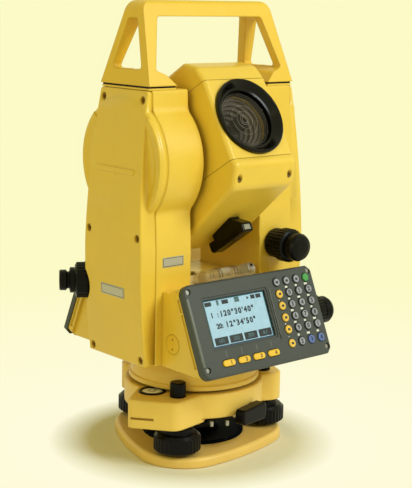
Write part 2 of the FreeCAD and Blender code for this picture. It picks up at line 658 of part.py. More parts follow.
def side_cover(side):
    panel = across(slab(standard_outline(COVER_INSET), STANDARD_OUTER_X, COVER_MID_X + 10)).common(barrel(0))
    outer = [edge for edge in panel.Edges if edge.BoundBox.XMin > STANDARD_OUTER_X + 0.5]
    panel = panel.makeFillet(1.4, outer)
    disc = rod(BULGE_R - 0.6, STANDARD_OUTER_X, BULGE_OUTER_X, 0, TRUNNION_Z)
    disc = disc.makeFillet(2.6, edges_at(disc, BULGE_OUTER_X))
    cover = joined([panel, across(disc)])
    cover = cover.cut(cover_screw_holes())
    if side < 0:
        mark_z = TRUNNION_Z - 5.5
        half_y = STANDARD_TOP_HALF_Y - 6.9
        bar = Part.makeBox(20, 2 * half_y, 2.4, V(STANDARD_OUTER_X, -half_y, mark_z - 1.2))
        dot = place(rod(2.2, STANDARD_OUTER_X, COVER_MID_X + 10), (0, 0, mark_z), (0, 0, 1), (1, 0, 0))
        cover = joined([cover, bar.fuse(dot).common(barrel(0.8))])
        cover = cover.mirror(V(0, 0, 0), V(1, 0, 0))
        return cover.cut(along_plummet(rod(COVER_NOTCH_R, PLUMMET_FLANGE_AT - 14, 2 * PLUMMET_FLANGE_AT)))
    gap = SLIP / 2
    opening = Part.makeBox(40, 2 * (BATTERY_HALF_Y + gap), BATTERY_HEIGHT + 2 * gap,
                           V(STANDARD_OUTER_X - 16, -BATTERY_HALF_Y - gap, BATTERY_BOTTOM - gap))
    return cover.cut(opening)


def battery_pack():
    """Pack in the right standard. Its outer face follows the cover."""
    gap = SLIP / 2
    back = STANDARD_OUTER_X - BATTERY_DEPTH
    block = Part.makeBox(40, 2 * (BATTERY_HALF_Y - gap), BATTERY_HEIGHT - 2 * gap,
                         V(back + gap, gap - BATTERY_HALF_Y, BATTERY_BOTTOM + gap))
    inner = Part.makeBox(BATTERY_DEPTH + 0.1, 2 * BATTERY_HALF_Y, BATTERY_HEIGHT,
                         V(back, -BATTERY_HALF_Y, BATTERY_BOTTOM))
    block = block.common(inner.fuse(barrel(-0.1)))
    return block.removeSplitter()


def side_cover_screws():
    screws = []
    for y, z in cover_screw_places():
        top = cover_x(z) - SCREW_SUNK
        head = turned([(0, top - SCREW_HEAD_HEIGHT), (SCREW_HEAD_R, top - SCREW_HEAD_HEIGHT), (SCREW_HEAD_R, top),
                       (SCREW_HEAD_R / 2, top), (SCREW_HEAD_R / 2, top - 0.8), (0, top - 0.8)])
        head = place(head, (0, y, z), (0, 0, 1), (1, 0, 0))
        screws.append(head)
        screws.append(head.mirror(V(0, 0, 0), V(1, 0, 0)))
    return screws


# ---------------------------------------------------------------- carrying handle
def handle_front_profile():
    """Front view as (x, z, radius) corners: two legs, a grip bar and inward feet."""
    foot_x = HANDLE_BASE_X - HANDLE_FOOT_LENGTH
    foot_top = HANDLE_BASE_Z + HANDLE_FOOT_HEIGHT
    outer = [(HANDLE_BASE_X, HANDLE_BASE_Z, 0), (HANDLE_TOP_X, HANDLE_TOP, HANDLE_CORNER_R)]
    inner = [(foot_x, HANDLE_BASE_Z, 0), (foot_x + 8, HANDLE_BASE_Z + 0.7 * HANDLE_FOOT_HEIGHT, 6),
             (foot_x + 16.5, foot_top, 2), (HANDLE_TOP_X - HANDLE_LEG_WIDTH, HANDLE_BAR_BOTTOM, 3)]
    left = [(-x, z, radius) for x, z, radius in reversed(outer)]
    return outer + left + [(-x, z, radius) for x, z, radius in inner] + list(reversed(inner))


def handle_half_y(z):
    """Half depth of the handle at a height."""
    share = (z - HANDLE_BASE_Z) / HANDLE_HEIGHT
    return HANDLE_BASE_HALF_Y + (HANDLE_TOP_HALF_Y - HANDLE_BASE_HALF_Y) * share


def carrying_handle():
    reach_x = HANDLE_BASE_X + 10
    reach_y = HANDLE_BASE_HALF_Y + 10
    front = place(slab(handle_front_profile(), -reach_y, reach_y), (0, 0, 0), (1, 0, 0), (0, -1, 0))
    side = across(slab([(-HANDLE_BASE_HALF_Y, HANDLE_BASE_Z, 0), (HANDLE_BASE_HALF_Y, HANDLE_BASE_Z, 0),
                        (HANDLE_TOP_HALF_Y, HANDLE_TOP, 4), (-HANDLE_TOP_HALF_Y, HANDLE_TOP, 4)], -reach_x, reach_x))
    low = HANDLE_BASE_Z + HANDLE_FOOT_HEIGHT + 0.2
    high = HANDLE_BAR_BOTTOM - 1.2
    low_half = HANDLE_BASE_HALF_Y - HANDLE_LEG_Y
    high_half = handle_half_y(high) - 0.65 * HANDLE_LEG_Y
    hole = across(slab([(-low_half, low, 2.5), (low_half, low, 2.5), (high_half, high, 2), (-high_half, high, 2)],
                       -reach_x, reach_x))
    handle = front.common(side).cut(hole)
    pads = []
    pad_x = HANDLE_FOOT_LENGTH - 9
    for left in (HANDLE_BASE_X - 3 - pad_x, 3 - HANDLE_BASE_X):
        pads.append(Part.makeBox(pad_x, 2 * HANDLE_BASE_HALF_Y - 6, HANDLE_GAP + 1,
                                 V(left, 3 - HANDLE_BASE_HALF_Y, STANDARD_TOP)))
    handle = joined([handle] + pads)
    well_r = HANDLE_SCREW_R + 0.2
    wells = [rod(well_r, HANDLE_BASE_Z + 5, HANDLE_BASE_Z + 2 * HANDLE_FOOT_HEIGHT, side * HANDLE_SCREW_X)
             for side in (-1, 1)]
    return handle.cut(wells)


def handle_screws():
    """Captive screws in the feet of the handle, reached through the open legs."""
    screws = []
    low = HANDLE_BASE_Z + 5
    for side in (-1, 1):
        head = rod(HANDLE_SCREW_R, low, low + 4, side * HANDLE_SCREW_X)
        slot = Part.makeBox(4 * HANDLE_SCREW_R, 1.0, 1.2, V(side * HANDLE_SCREW_X - 2 * HANDLE_SCREW_R, -0.5, low + 3))
        screws.append(head.cut(slot))
    return Part.makeCompound(screws)


# ---------------------------------------------------------------- keyboards
def on_keyboard(shape, back):
    """Move a shape from panel coordinates to the front or the back keyboard."""
    lean = math.radians(PANEL_TILT)
    placed = place(shape, (0, PANEL_BOTTOM_Y, PANEL_BOTTOM_Z), (1, 0, 0), (0, -math.cos(lean), math.sin(lean)))
    return spun(placed, 180) if back else placed


def panel_outline(inset):
    """Panel corners: round on the left, cut off on the right."""
    half = PANEL_WIDTH / 2 - inset
    low = inset
    high = PANEL_HEIGHT - inset
    cut = PANEL_CORNER_CUT
    return [(-half, low, PANEL_CORNER_R), (half - cut, low, 2), (half, low + cut, 2),
            (half, high - cut, 2), (half - cut, high, 2), (-half, high, PANEL_CORNER_R)]


def key_places():
    return [(KEY_FIRST_X + KEY_PITCH_X * column, y) for y in KEY_ROWS_Y for column in range(KEY_COLUMNS)]


def soft_key_places():
    return [(SOFT_KEY_FIRST_X + SOFT_KEY_PITCH * index, SOFT_KEY_Y) for index in range(SOFT_KEY_COUNT)]


def soft_key_outline(x, y, grow):
    half_x = SOFT_KEY_LENGTH / 2 + grow
    half_y = SOFT_KEY_HEIGHT / 2 + grow
    return rectangle(x - half_x, y - half_y, x + half_x, y + half_y, half_y - 0.01)


def panel_screw_places():
    """(x, y) of the four corner screws of a panel."""
    half = PANEL_WIDTH / 2 - PANEL_SCREW_INSET
    return [(-half, PANEL_HEIGHT - PANEL_SCREW_INSET - 0.4), (0.6 - half, PANEL_SCREW_INSET + 2.4),
            (half + 0.7, PANEL_HEIGHT - PANEL_SCREW_INSET + 0.4), (half + 0.5, PANEL_SCREW_INSET + 0.8)]


def key_holes():
    holes = [rod(KEY_R + SLIP, -PANEL_THICKNESS - 1, 5, x, y) for x, y in key_places()]
    holes += [slab(soft_key_outline(x, y, SLIP), -PANEL_THICKNESS - 1, 5) for x, y in soft_key_places()]
    return holes


def display_rectangle(grow, radius=0.0):
    """Outline about the display's middle, larger than the visible area by grow on each side."""
    half_x = DISPLAY_WIDTH / 2 + grow
    half_y = DISPLAY_HEIGHT / 2 + grow
    return rectangle(DISPLAY_X - half_x, DISPLAY_Y - half_y, DISPLAY_X + half_x, DISPLAY_Y + half_y, radius)


def key_grid(grow):
    """Outline of the mat under the round keys."""
    margin = MAT_MARGIN + grow
    last_x = KEY_FIRST_X + (KEY_COLUMNS - 1) * KEY_PITCH_X
    return rectangle(KEY_FIRST_X - margin, KEY_LAST_Y - 8 - grow, last_x + margin, KEY_FIRST_Y + 4.3 + grow, 2)


def soft_key_strip(grow):
    """Outline of the mat under the oval keys, up to the mat of the round keys."""
    return rectangle(SOFT_KEY_FIRST_X - 7.5 - grow, SOFT_KEY_Y - 4.2 - grow,
                     KEY_FIRST_X - 1, SOFT_KEY_Y + 4.3 + grow, 2)


def keyboard_panel(back):
    panel = slab(panel_outline(0), -PANEL_THICKNESS, 0)
    panel = panel.makeChamfer(PANEL_EDGE, edges_at(panel, 0))
    bezel = slab(display_rectangle(DISPLAY_RIM, 1.5), -0.7, 1)
    window = slab(display_rectangle(0, 1.0), -PANEL_THICKNESS - 1, 1)
    divider_x = (DISPLAY_X + DISPLAY_WIDTH / 2 + KEY_FIRST_X - KEY_R) / 2 - 1.6
    divider = Part.makeBox(0.7, DISPLAY_HEIGHT + 3.6, 1.6, V(divider_x, DISPLAY_Y - DISPLAY_HEIGHT / 2 - 3.7, -0.6))
    wells = [rod(SCREW_WELL_R, -SCREW_WELL_DEPTH, 1, x, y) for x, y in panel_screw_places()]
    return on_keyboard(panel.cut([bezel, window, divider] + wells + key_holes()), back)


def keyboard_housing(back):
    """Housing from the standards out to the lip that carries the panel."""
    lean = math.radians(PANEL_TILT)
    depth = PANEL_THICKNESS + LIP_THICKNESS
    face_y = PANEL_BOTTOM_Y + depth * math.cos(lean)
    face_z = PANEL_BOTTOM_Z - depth * math.sin(lean)
    top_run = PANEL_HEIGHT - 0.6
    floor_z = BODY_BOTTOM + 0.2
    low_y = face_y + (floor_z - face_z) * math.tan(lean)
    wall = -STANDARD_BOTTOM_HALF_Y
    body = across(slab([(wall, floor_z, 0), (low_y, floor_z, 0),
                        (face_y + top_run * math.sin(lean), face_z + top_run * math.cos(lean), 0),
                        (LEVEL_SHELF_Y, PLATFORM_TOP, 0), (wall, PLATFORM_TOP, 0)],
                       -HOUSING_HALF_X, HOUSING_HALF_X))
    lip = slab([(x, y + 1.2 if y < 10 else y, radius) for x, y, radius in panel_outline(LIP_INSET)],
               -depth, -PANEL_THICKNESS)
    lip = lip.cut(lip_slots(depth))
    housing = joined([body, on_keyboard(lip, False)])
    pockets = [slab(key_grid(0.5), -PANEL_THICKNESS - MAT_THICKNESS, -PANEL_THICKNESS + 1),
               slab(soft_key_strip(0.5), -PANEL_THICKNESS - MAT_THICKNESS, -PANEL_THICKNESS + 1),
               slab(display_rectangle(3.0, 2), -depth + 1, -PANEL_THICKNESS + 1)]
    housing = housing.cut([on_keyboard(pocket, False) for pocket in pockets])
    if back:
        housing = spun(housing, 180)
        return housing.cut([along_plummet(plummet_recess())])
    port = place(rod(PORT_R, -HOUSING_HALF_X - 1, -HOUSING_HALF_X + 3), (0, PORT_Y, PORT_Z), (0, 0, 1), (1, 0, 0))
    rod_hole = place(rod(DRIVE_ROD_R + RUNNING, -DRIVE_ROD_DEPTH - 2, 1), (H_DRIVE_START, H_DRIVE_Y, H_DRIVE_Z),
                     (0, 0, 1), (1, 0, 0))
    return housing.cut([port, rod_hole])


def plummet_recess():
    """Room for the focus ring of the plummet, open to the top. Local X points up."""
    start = PLUMMET_FLANGE_AT - 14
    open_top = Part.makeBox(PLUMMET_BELOW + 30, 2 * PLUMMET_RECESS_R, PLUMMET_FLANGE_AT + 14,
                            V(0, -PLUMMET_RECESS_R, start))
    return rod(PLUMMET_RECESS_R, start, 2 * PLUMMET_FLANGE_AT).fuse(open_top).removeSplitter()


def lip_slots(depth):
    """Shallow slots in the two sides of the lip, with a rib between them."""
    slots = []
    reach = PANEL_WIDTH / 2 - LIP_INSET
    rib_y = 0.72 * PANEL_HEIGHT
    for low, high in ((PANEL_CORNER_R + 3, rib_y), (rib_y + 1.6, PANEL_HEIGHT - PANEL_CORNER_R - 1)):
        for x in (-reach - 1, reach - LIP_SLOT):
            slots.append(Part.makeBox(1 + LIP_SLOT, high - low, LIP_THICKNESS - 3.2, V(x, low, -depth + 1.6)))
    return slots


def port_plug():
    """Round plug over the data port, with two spanner holes."""
    plug = rod(PORT_R - 0.25, HOUSING_HALF_X - 3, HOUSING_HALF_X + 0.3)
    plug = plug.makeChamfer(0.25, edges_at(plug, HOUSING_HALF_X + 0.3))
    for x in (-3.6, 3.6):
        plug = plug.cut(rod(0.7, HOUSING_HALF_X - 1, HOUSING_HALF_X + 1, x))
    return place(plug, (0, PORT_Y, PORT_Z), (0, 0, 1), (-1, 0, 0))


def display(back):
    """Display module in its pocket, with the raised screen under the window."""
    module = slab(display_rectangle(2.0), -PANEL_THICKNESS - LIP_THICKNESS + 1, -PANEL_THICKNESS)
    screen = slab(display_rectangle(-0.3), -PANEL_THICKNESS, -DISPLAY_SUNK)
    return on_keyboard(module.fuse(screen).removeSplitter(), back)


def display_window(back):
    glass = slab(display_rectangle(-0.1, 0.9), -WINDOW_SUNK - WINDOW_THICKNESS, -WINDOW_SUNK)
    return on_keyboard(glass, back)


def domed_key(x, y, bottom):
    key = rod(KEY_R, bottom, KEY_RISE, x, y)
    return key.makeChamfer(0.5, edges_at(key, KEY_RISE))


def soft_key(x, y, bottom):
    key = slab(soft_key_outline(x, y, 0), bottom, KEY_RISE)
    return key.makeChamfer(0.5, edges_at(key, KEY_RISE))


def key_mat(back):
    """Silicone mat with its key tops. On the front, five of the keys are separate pieces."""
    floor = -PANEL_THICKNESS - MAT_THICKNESS
    grid = slab(key_grid(0), floor, -PANEL_THICKNESS)
    strip = slab(soft_key_strip(0), floor, -PANEL_THICKNESS)
    tops = [domed_key(x, y, floor + 0.2) for x, y in key_places()]
    if back:
        tops += [soft_key(x, y, floor + 0.2) for x, y in soft_key_places()]
    else:
        tops.pop(KEY_COLUMNS - 1)
    return on_keyboard(joined([grid, strip] + tops), back)


def front_soft_key(index):
    x, y = soft_key_places()[index]
    return on_keyboard(soft_key(x, y, MOVING_KEY_BOTTOM), False)


def front_power_key():
    x, y = key_places()[KEY_COLUMNS - 1]
    return on_keyboard(domed_key(x, y, MOVING_KEY_BOTTOM), False)


def keyboard_screws():
    screws = []
    for back in (False, True):
        for x, y in panel_screw_places():
            head = rod(SCREW_WELL_R - 0.3, -SCREW_WELL_DEPTH, 1.8 - SCREW_WELL_DEPTH, x, y)
            screws.append(on_keyboard(head, back))
    return screws


# ---------------------------------------------------------------- plate level and optical plummet
def plate_level_holder():
    """Trough with closed ends that holds the tubular vial."""
    half = LEVEL_LENGTH / 2
    wide = LEVEL_HALF_WIDTH
    floor = PLATFORM_TOP - LEVEL_Z
    trough = slab([(-wide, floor, 0), (wide, floor, 0), (wide, -0.5, 1), (-wide, -0.5, 1)], -half, half)
    end = [(-wide, floor, 0), (wide, floor, 0), (wide, LEVEL_R - 1.2, 3), (-wide, LEVEL_R - 1.2, 3)]
    low_end = slab(end, -half, LEVEL_END - half)
    high_end = slab(end, half - LEVEL_END, half)
    bore = rod(LEVEL_R, LEVEL_END - 0.5 - half, half - LEVEL_END + 0.5)
    holder = joined([trough, low_end, high_end]).cut(bore)
    return place(holder, (0, LEVEL_Y, LEVEL_Z), (0, 1, 0), (1, 0, 0))


def plate_level_vial():
    half = LEVEL_LENGTH / 2 - LEVEL_END - 0.2
    return place(rod(LEVEL_R - 0.1, -half, half), (0, LEVEL_Y, LEVEL_Z), (0, 1, 0), (1, 0, 0))


def along_plummet(shape):
    """Lay a shape drawn along Z on to the axis of the optical plummet."""
    angle = math.radians(PLUMMET_ANGLE)
    return place(shape, (0, 0, PLUMMET_Z), (0, 0, 1), (-math.cos(angle), math.sin(angle), 0))


def plummet_tube():
    tube_r = PLUMMET_TUBE_R - 0.1
    flange_r = PLUMMET_RING_R - 1.5
    flange_top = PLUMMET_FLANGE_AT + 4
    return along_plummet(turned([
        (0, SIGHT_BORE_R + 2), (tube_r, SIGHT_BORE_R + 2), (tube_r, flange_top), (flange_r, flange_top),
        (flange_r, PLUMMET_RING_AT - 0.5), (PLUMMET_BEARING_R, PLUMMET_RING_AT - 0.5),
        (PLUMMET_BEARING_R, PLUMMET_EYE_AT + 3), (0, PLUMMET_EYE_AT + 3)]))


def plummet_focus_ring():
    low = PLUMMET_RING_AT
    high = PLUMMET_EYE_AT - DRIVE_GAP
    bore = rod(PLUMMET_BEARING_R + RUNNING, low - 1, high + 1)
    ring = joined([fluted(PLUMMET_RING_R, 0.5, 28, low + 1, high - 1),
                   turned([(0, low), (PLUMMET_RING_R - 1.6, low), (PLUMMET_RING_R - 0.6, low + 1),
                           (PLUMMET_RING_R - 0.6, high - 1), (PLUMMET_RING_R - 2, high), (0, high)])])
    return along_plummet(ring.cut(bore))


def plummet_eyepiece():
    start = PLUMMET_EYE_AT
    end = PLUMMET_END_AT
    waist = PLUMMET_EYE_R - 3.2
    cup = PLUMMET_EYE_R - 1.8
    body = turned([(0, start), (PLUMMET_EYE_R, start), (PLUMMET_EYE_R, start + 3.4), (waist, start + 4.2),
                   (waist, start + 5.4), (cup, start + 6.4), (cup, end - 0.8), (cup - 0.8, end),
                   (cup - 4.2, end), (cup - 5.2, end - 2.5), (0, end - 2.5)])
    return along_plummet(body.cut(rod(PLUMMET_BEARING_R + RUNNING, start - 1, start + 3.1)))


# ---------------------------------------------------------------- clamps and tangent screws
def clamp_ring():
    """Clamp ring on the drive rod, drawn along Z from z = 0 at the wall."""
    ring = joined([fluted(CLAMP_R, 0.4, 26, 1.2, CLAMP_LENGTH - 0.8),
                   turned([(0, 0), (CLAMP_R - 1.0, 0), (CLAMP_R - 0.4, 1.2), (CLAMP_R - 0.4, CLAMP_LENGTH - 0.8),
                           (CLAMP_R - 1.4, CLAMP_LENGTH), (0, CLAMP_LENGTH)])])
    return ring.cut(rod(DRIVE_ROD_R + RUNNING, -1, CLAMP_LENGTH + 1))


def tangent_knob():
    """Slow-motion knob beyond the clamp ring, with a wide rim, a groove and a round cap."""
    start = CLAMP_LENGTH + DRIVE_GAP
    rim = start + TANGENT_RIM
    end = start + TANGENT_LENGTH
    radius = TANGENT_R - 0.6
    cap = TANGENT_R - 2.2
    grip = fluted(TANGENT_R, 0.5, 28, start + 1, rim - 1)
    knob = turned([(0, start), (radius - 0.6, start), (radius, start + 1), (radius, rim - 1), (radius - 1.4, rim),
                   (cap - 2, rim + 0.4), (cap - 2, rim + 1.6), (cap - 0.4, rim + 2.4), (cap, end - 3.7),
                   (cap - 1.4, end - 1.2), (cap - 4.8, end - 0.2), (0, end)])
    return joined([grip, knob, rod(DRIVE_ROD_R, -DRIVE_ROD_DEPTH, start + 1)])


def drive(kind):
    return clamp_ring() if kind == "clamp" else tangent_knob()


def vertical_drive(kind):
    return place(drive(kind), (V_DRIVE_X, V_DRIVE_START, V_DRIVE_Z), (1, 0, 0), (0, -1, 0))


def horizontal_drive(kind):
    return place(drive(kind), (H_DRIVE_START, H_DRIVE_Y, H_DRIVE_Z), (0, 0, 1), (1, 0, 0))


# ---------------------------------------------------------------- telescope
def in_telescope(shape):
    """Place a side-view slab: local x along the sight line, local y up."""
    tilt = math.radians(TELESCOPE_TILT)
    return place(shape, (0, 0, TRUNNION_Z), (0, -math.cos(tilt), math.sin(tilt)), (-1, 0, 0))


def along_sight(shape):
    """Place a shape drawn along Z on to the sight line."""
    tilt = math.radians(TELESCOPE_TILT)
    return place(shape, (0, 0, TRUNNION_Z), (1, 0, 0), (0, -math.cos(tilt), math.sin(tilt)))


def telescope_block():
    """Whole casing before it is divided along its two seams."""
    front_low = CASING_BOTTOM_FRONT
    profile = [(FACE_AT, LOWER_SEAM, 0), (FACE_AT + 2, front_low + 14, 5), (FACE_AT - 9.8, front_low, 9),
               (BACK_AT + 16, CASING_BOTTOM_BACK, 8), (BACK_AT, CASING_BOTTOM_BACK + 27, 10),
               (BACK_AT, CASING_TOP - 25.5, 8), (BACK_AT + 19, CASING_TOP - 7.5, 14),
               (BACK_AT + CASING_CROWN, CASING_TOP, 20),
               (FACE_AT - 15.3, CASING_TOP, 6), (FACE_AT - 3.8, CASING_TOP - 9.5, 7), (FACE_AT, UPPER_SEAM, 0)]
    block = slab(profile, -TELESCOPE_HALF_WIDTH, TELESCOPE_HALF_WIDTH)
    sides = edges_at(block, TELESCOPE_HALF_WIDTH) + edges_at(block, -TELESCOPE_HALF_WIDTH)
    block = block.makeFillet(TELESCOPE_SIDE_R, sides)
    return in_telescope(block)


def telescope_band(low, high):
    """Region of the casing between two heights in the telescope's own frame."""
    return in_telescope(slab(rectangle(2 * BACK_AT, low, 2 * FACE_AT, high),
                             -2 * TELESCOPE_HALF_WIDTH, 2 * TELESCOPE_HALF_WIDTH))


def telescope_shell(block):
    gap = SEAM / 2
    shell = block.common(telescope_band(LOWER_SEAM + gap, UPPER_SEAM - gap))
    seat = rod(OBJECTIVE_R - 1.0, OBJECTIVE_BACK - 0.2, 2 * FACE_AT)
    tube = rod(TUBE_R, TUBE_DEPTH_AT, 2 * FACE_AT)
    eye_bore = rod(DRAW_TUBE_R + 0.1, BACK_AT - 1, BACK_AT + 12)
    axle_seats = [place(rod(AXLE_R, AXLE_INNER_AT, TELESCOPE_HALF_WIDTH + 1), (0, 0, TRUNNION_Z),
                        (0, 0, 1), (side, 0, 0)) for side in (-1, 1)]
    return shell.cut([along_sight(seat), along_sight(tube), along_sight(eye_bore)] + axle_seats)


def telescope_cover(block, upper):
    gap = SEAM / 2
    if upper:
        cover = block.common(telescope_band(UPPER_SEAM + gap, 2 * CASING_TOP))
        holes = [place(rod(CASING_SCREW_R, CASING_TOP - 3, CASING_TOP + 8), (FACE_AT - 20.3, 0, side * 22.5),
                       (1, 0, 0), (0, 1, 0)) for side in (-1, 1)]
        return cover.cut([in_telescope(hole) for hole in holes])
    cover = block.common(telescope_band(2 * CASING_BOTTOM_BACK, LOWER_SEAM - gap))
    well_r = CASING_SCREW_R + 0.6
    well_y = LOWER_SEAM - 13.2
    mouth = FACE_AT - 4.8
    for side in (-1, 1):
        well = turned([(0, mouth - 3.5), (well_r, mouth - 3.5), (well_r, mouth), (well_r + 1.6, mouth + 6.5),
                       (well_r + 1.6, mouth + 20), (0, mouth + 20)])
        well.translate(V(side * 24, well_y, 0))
        cover = cover.cut(along_sight(well))
    return cover


def objective_ring():
    front = OBJECTIVE_FRONT
    seat = LENS_AT + LENS_THICKNESS
    return along_sight(turned([
        (TUBE_R - 0.5, OBJECTIVE_BACK), (OBJECTIVE_R - 1.2, OBJECTIVE_BACK), (OBJECTIVE_R - 1.2, FACE_AT),
        (OBJECTIVE_R, FACE_AT), (OBJECTIVE_R, front - 0.8), (OBJECTIVE_R - 0.8, front),
        (OBJECTIVE_R - 1.8, front), (OBJECTIVE_R - 2.8, front - 1.2), (LENS_R + 1.6, seat + 1.2),
        (LENS_R, seat + 0.6), (LENS_R, LENS_AT), (TUBE_R - 0.5, LENS_AT)]))


def objective_lens():
    front = LENS_AT + LENS_THICKNESS
    edge = LENS_R - 0.1
    return along_sight(turned([(0, LENS_AT), (edge, LENS_AT), (edge, front - 0.8), (edge * 0.7, front - 0.3),
                               (edge * 0.35, front), (0, front + 0.1)]))


def laser_tube():
    """Tube of the visible laser behind the lens, carried by stepped light baffles."""
    top = OBJECTIVE_BACK - 3
    baffles = [(0, TUBE_DEPTH_AT), (TUBE_R - 0.1, TUBE_DEPTH_AT), (TUBE_R - 0.1, top)]
    for step in range(BAFFLE_COUNT):
        radius = TUBE_R - 2.2 - step * BAFFLE_STEP
        height = top - step * BAFFLE_PITCH
        baffles += [(radius, height), (radius, height - 0.7 * BAFFLE_PITCH)]
    floor = top - (BAFFLE_COUNT - 1) * BAFFLE_PITCH - 0.9 * BAFFLE_PITCH
    baffles += [(LASER_TUBE_R, floor), (LASER_TUBE_R, top - 2), (LASER_TUBE_R - 1, top - 1), (0, top - 1)]
    return along_sight(turned(baffles))


def optical_sight(block):
    """Slim sight under the front of the casing, with a window recess in its front end."""
    low = CASING_BOTTOM_BACK - SIGHT_DROP
    rise = low + 15.7
    body = slab([(-16, low, 3), (25, low + 2, 1.5), (25.5, low + 8.3, 2.5), (15, rise, 4), (15, rise + 18, 0),
                 (-9, rise + 18, 0), (-9, low + 8.8, 0.5), (-16, low + 8.8, 1.5)],
                -SIGHT_HALF_WIDTH, SIGHT_HALF_WIDTH)
    body = body.makeFillet(1.0, edges_at(body, SIGHT_HALF_WIDTH) + edges_at(body, -SIGHT_HALF_WIDTH))
    window = Part.makeBox(1.6, 4.4, SIGHT_HALF_WIDTH + 1.4, V(24.4, low + 3.1, -(SIGHT_HALF_WIDTH + 1.4) / 2))
    return in_telescope(body.cut(window)).cut(block)


def focus_ring():
    low = 0.3
    high = FOCUS_LENGTH
    grip = fluted(FOCUS_R, 0.6, 36, low + 1.5, high - 2)
    ring = turned([(0, low), (FOCUS_R - 2, low), (FOCUS_R - 0.7, low + 1.5), (FOCUS_R - 0.7, high - 2),
                   (FOCUS_R - 3, high), (0, high)])
    ring = joined([grip, ring]).cut(rod(DRAW_TUBE_R + RUNNING, -1, high + 1))
    return behind_telescope(ring)


def behind_telescope(shape):
    """Place a shape drawn along Z so that it points out of the back of the casing."""
    tilt = math.radians(TELESCOPE_TILT)
    start = (0, -BACK_AT * math.cos(tilt), TRUNNION_Z + BACK_AT * math.sin(tilt))
    return place(shape, start, (1, 0, 0), (0, math.cos(tilt), -math.sin(tilt)))


def eyepiece_tube():
    """Fixed draw tube between the casing and the eyepiece."""
    end = EYEPIECE_LENGTH - 9
    return behind_telescope(turned([(0, -10), (DRAW_TUBE_R, -10), (DRAW_TUBE_R, end), (0, end)]))


def eyepiece():
    low = FOCUS_LENGTH + 0.5
    end = EYEPIECE_LENGTH
    bore = DRAW_TUBE_R + RUNNING
    neck = EYEPIECE_R - 3
    body = turned([(bore, low), (neck, low), (neck, low + 3), (EYEPIECE_R - 0.6, low + 4),
                   (EYEPIECE_R - 0.6, end - 3), (neck, end), (6, end), (4.5, end - 5), (0, end - 5),
                   (0, end - 8), (bore, end - 8)])
    grip = fluted(EYEPIECE_R, 0.4, 28, low + 5, end - 4).cut(rod(EYEPIECE_R - 1, low, end))
    return behind_telescope(joined([body, grip]))


def trunnion_axles():
    axle = place(rod(AXLE_R, AXLE_INNER_AT, STANDARD_OUTER_X - AXLE_SEAT), (0, 0, TRUNNION_Z), (0, 0, 1), (1, 0, 0))
    return Part.makeCompound([axle, axle.mirror(V(0, 0, 0), V(1, 0, 0))])


def vertical_circle():
    high = CIRCLE_AT + CIRCLE_THICKNESS
    disc = turned([(AXLE_R, CIRCLE_AT), (CIRCLE_R, CIRCLE_AT), (CIRCLE_R, high), (AXLE_R, high)])
    return place(disc, (0, 0, TRUNNION_Z), (0, 0, 1), (-1, 0, 0))


# ---------------------------------------------------------------- build
def main():
    os.makedirs("parts", exist_ok=True)
    block = telescope_block()
    pieces = {
        "base_plate": base_plate(),
        "spring_plate": spring_plate(),
        "tribrach_body": tribrach_body(),
        "foot_screw_caps": foot_screw_caps(),
        "circular_level_housing": circular_level_housing(),
        "circular_level_vial": circular_level_vial(),
        "tribrach_lock_lever": lock_lever(),
        "centring_adapter": centring_adapter(),
        "horizontal_circle": horizontal_circle(),
        "vertical_spindle": vertical_spindle(),
        "alidade_skirt": alidade_skirt(),
        "alidade_platform": alidade_platform(),
        "left_standard": standard(-1),
        "right_standard": standard(1),
        "left_side_cover": side_cover(-1),
        "right_side_cover": side_cover(1),
        "casing_screws": Part.makeCompound(side_cover_screws() + keyboard_screws()),
        "battery_pack": battery_pack(),
        "carrying_handle": carrying_handle(),
        "handle_screws": handle_screws(),
        "front_power_key": front_power_key(),
        "port_plug": port_plug(),
        "plate_level_holder": plate_level_holder(),
        "plate_level_vial": plate_level_vial(),
        "plummet_tube": plummet_tube(),
        "plummet_focus_ring": plummet_focus_ring(),
        "plummet_eyepiece": plummet_eyepiece(),
        "vertical_clamp_ring": vertical_drive("clamp"),
        "vertical_tangent_knob": vertical_drive("tangent"),
        "horizontal_clamp_ring": horizontal_drive("clamp"),
        "horizontal_tangent_knob": horizontal_drive("tangent"),
        "telescope_shell": telescope_shell(block),
        "telescope_top_cover": telescope_cover(block, True),
        "telescope_bottom_cover": telescope_cover(block, False),
        "objective_ring": objective_ring(),
        "objective_lens": objective_lens(),
        "laser_tube": laser_tube(),
        "optical_sight": optical_sight(block),
        "focus_ring": focus_ring(),
        "eyepiece_tube": eyepiece_tube(),
        "eyepiece": eyepiece(),
        "trunnion_axles": trunnion_axles(),
        "vertical_circle": vertical_circle(),
    }
    for index in range(FOOT_COUNT):
        pieces["foot_screw_%d" % (index + 1)] = foot_screw(index)
    for index in range(SOFT_KEY_COUNT):
        pieces["front_soft_key_%d" % (index + 1)] = front_soft_key(index)
    for back, side_name in ((False, "front"), (True, "back")):
        pieces[side_name + "_keyboard_housing"] = keyboard_housing(back)
        pieces[side_name + "_keyboard_panel"] = keyboard_panel(back)
        pieces[side_name + "_display"] = display(back)
        pieces[side_name + "_display_window"] = display_window(back)
        pieces[side_name + "_key_mat"] = key_mat(back)
    for name, shape in pieces.items():
        write(name, shape)


main()
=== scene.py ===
"""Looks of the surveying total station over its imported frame. Metres, in the frame of the solids."""
import json
import math
import bmesh
import bpy
from mathutils import Matrix, Vector


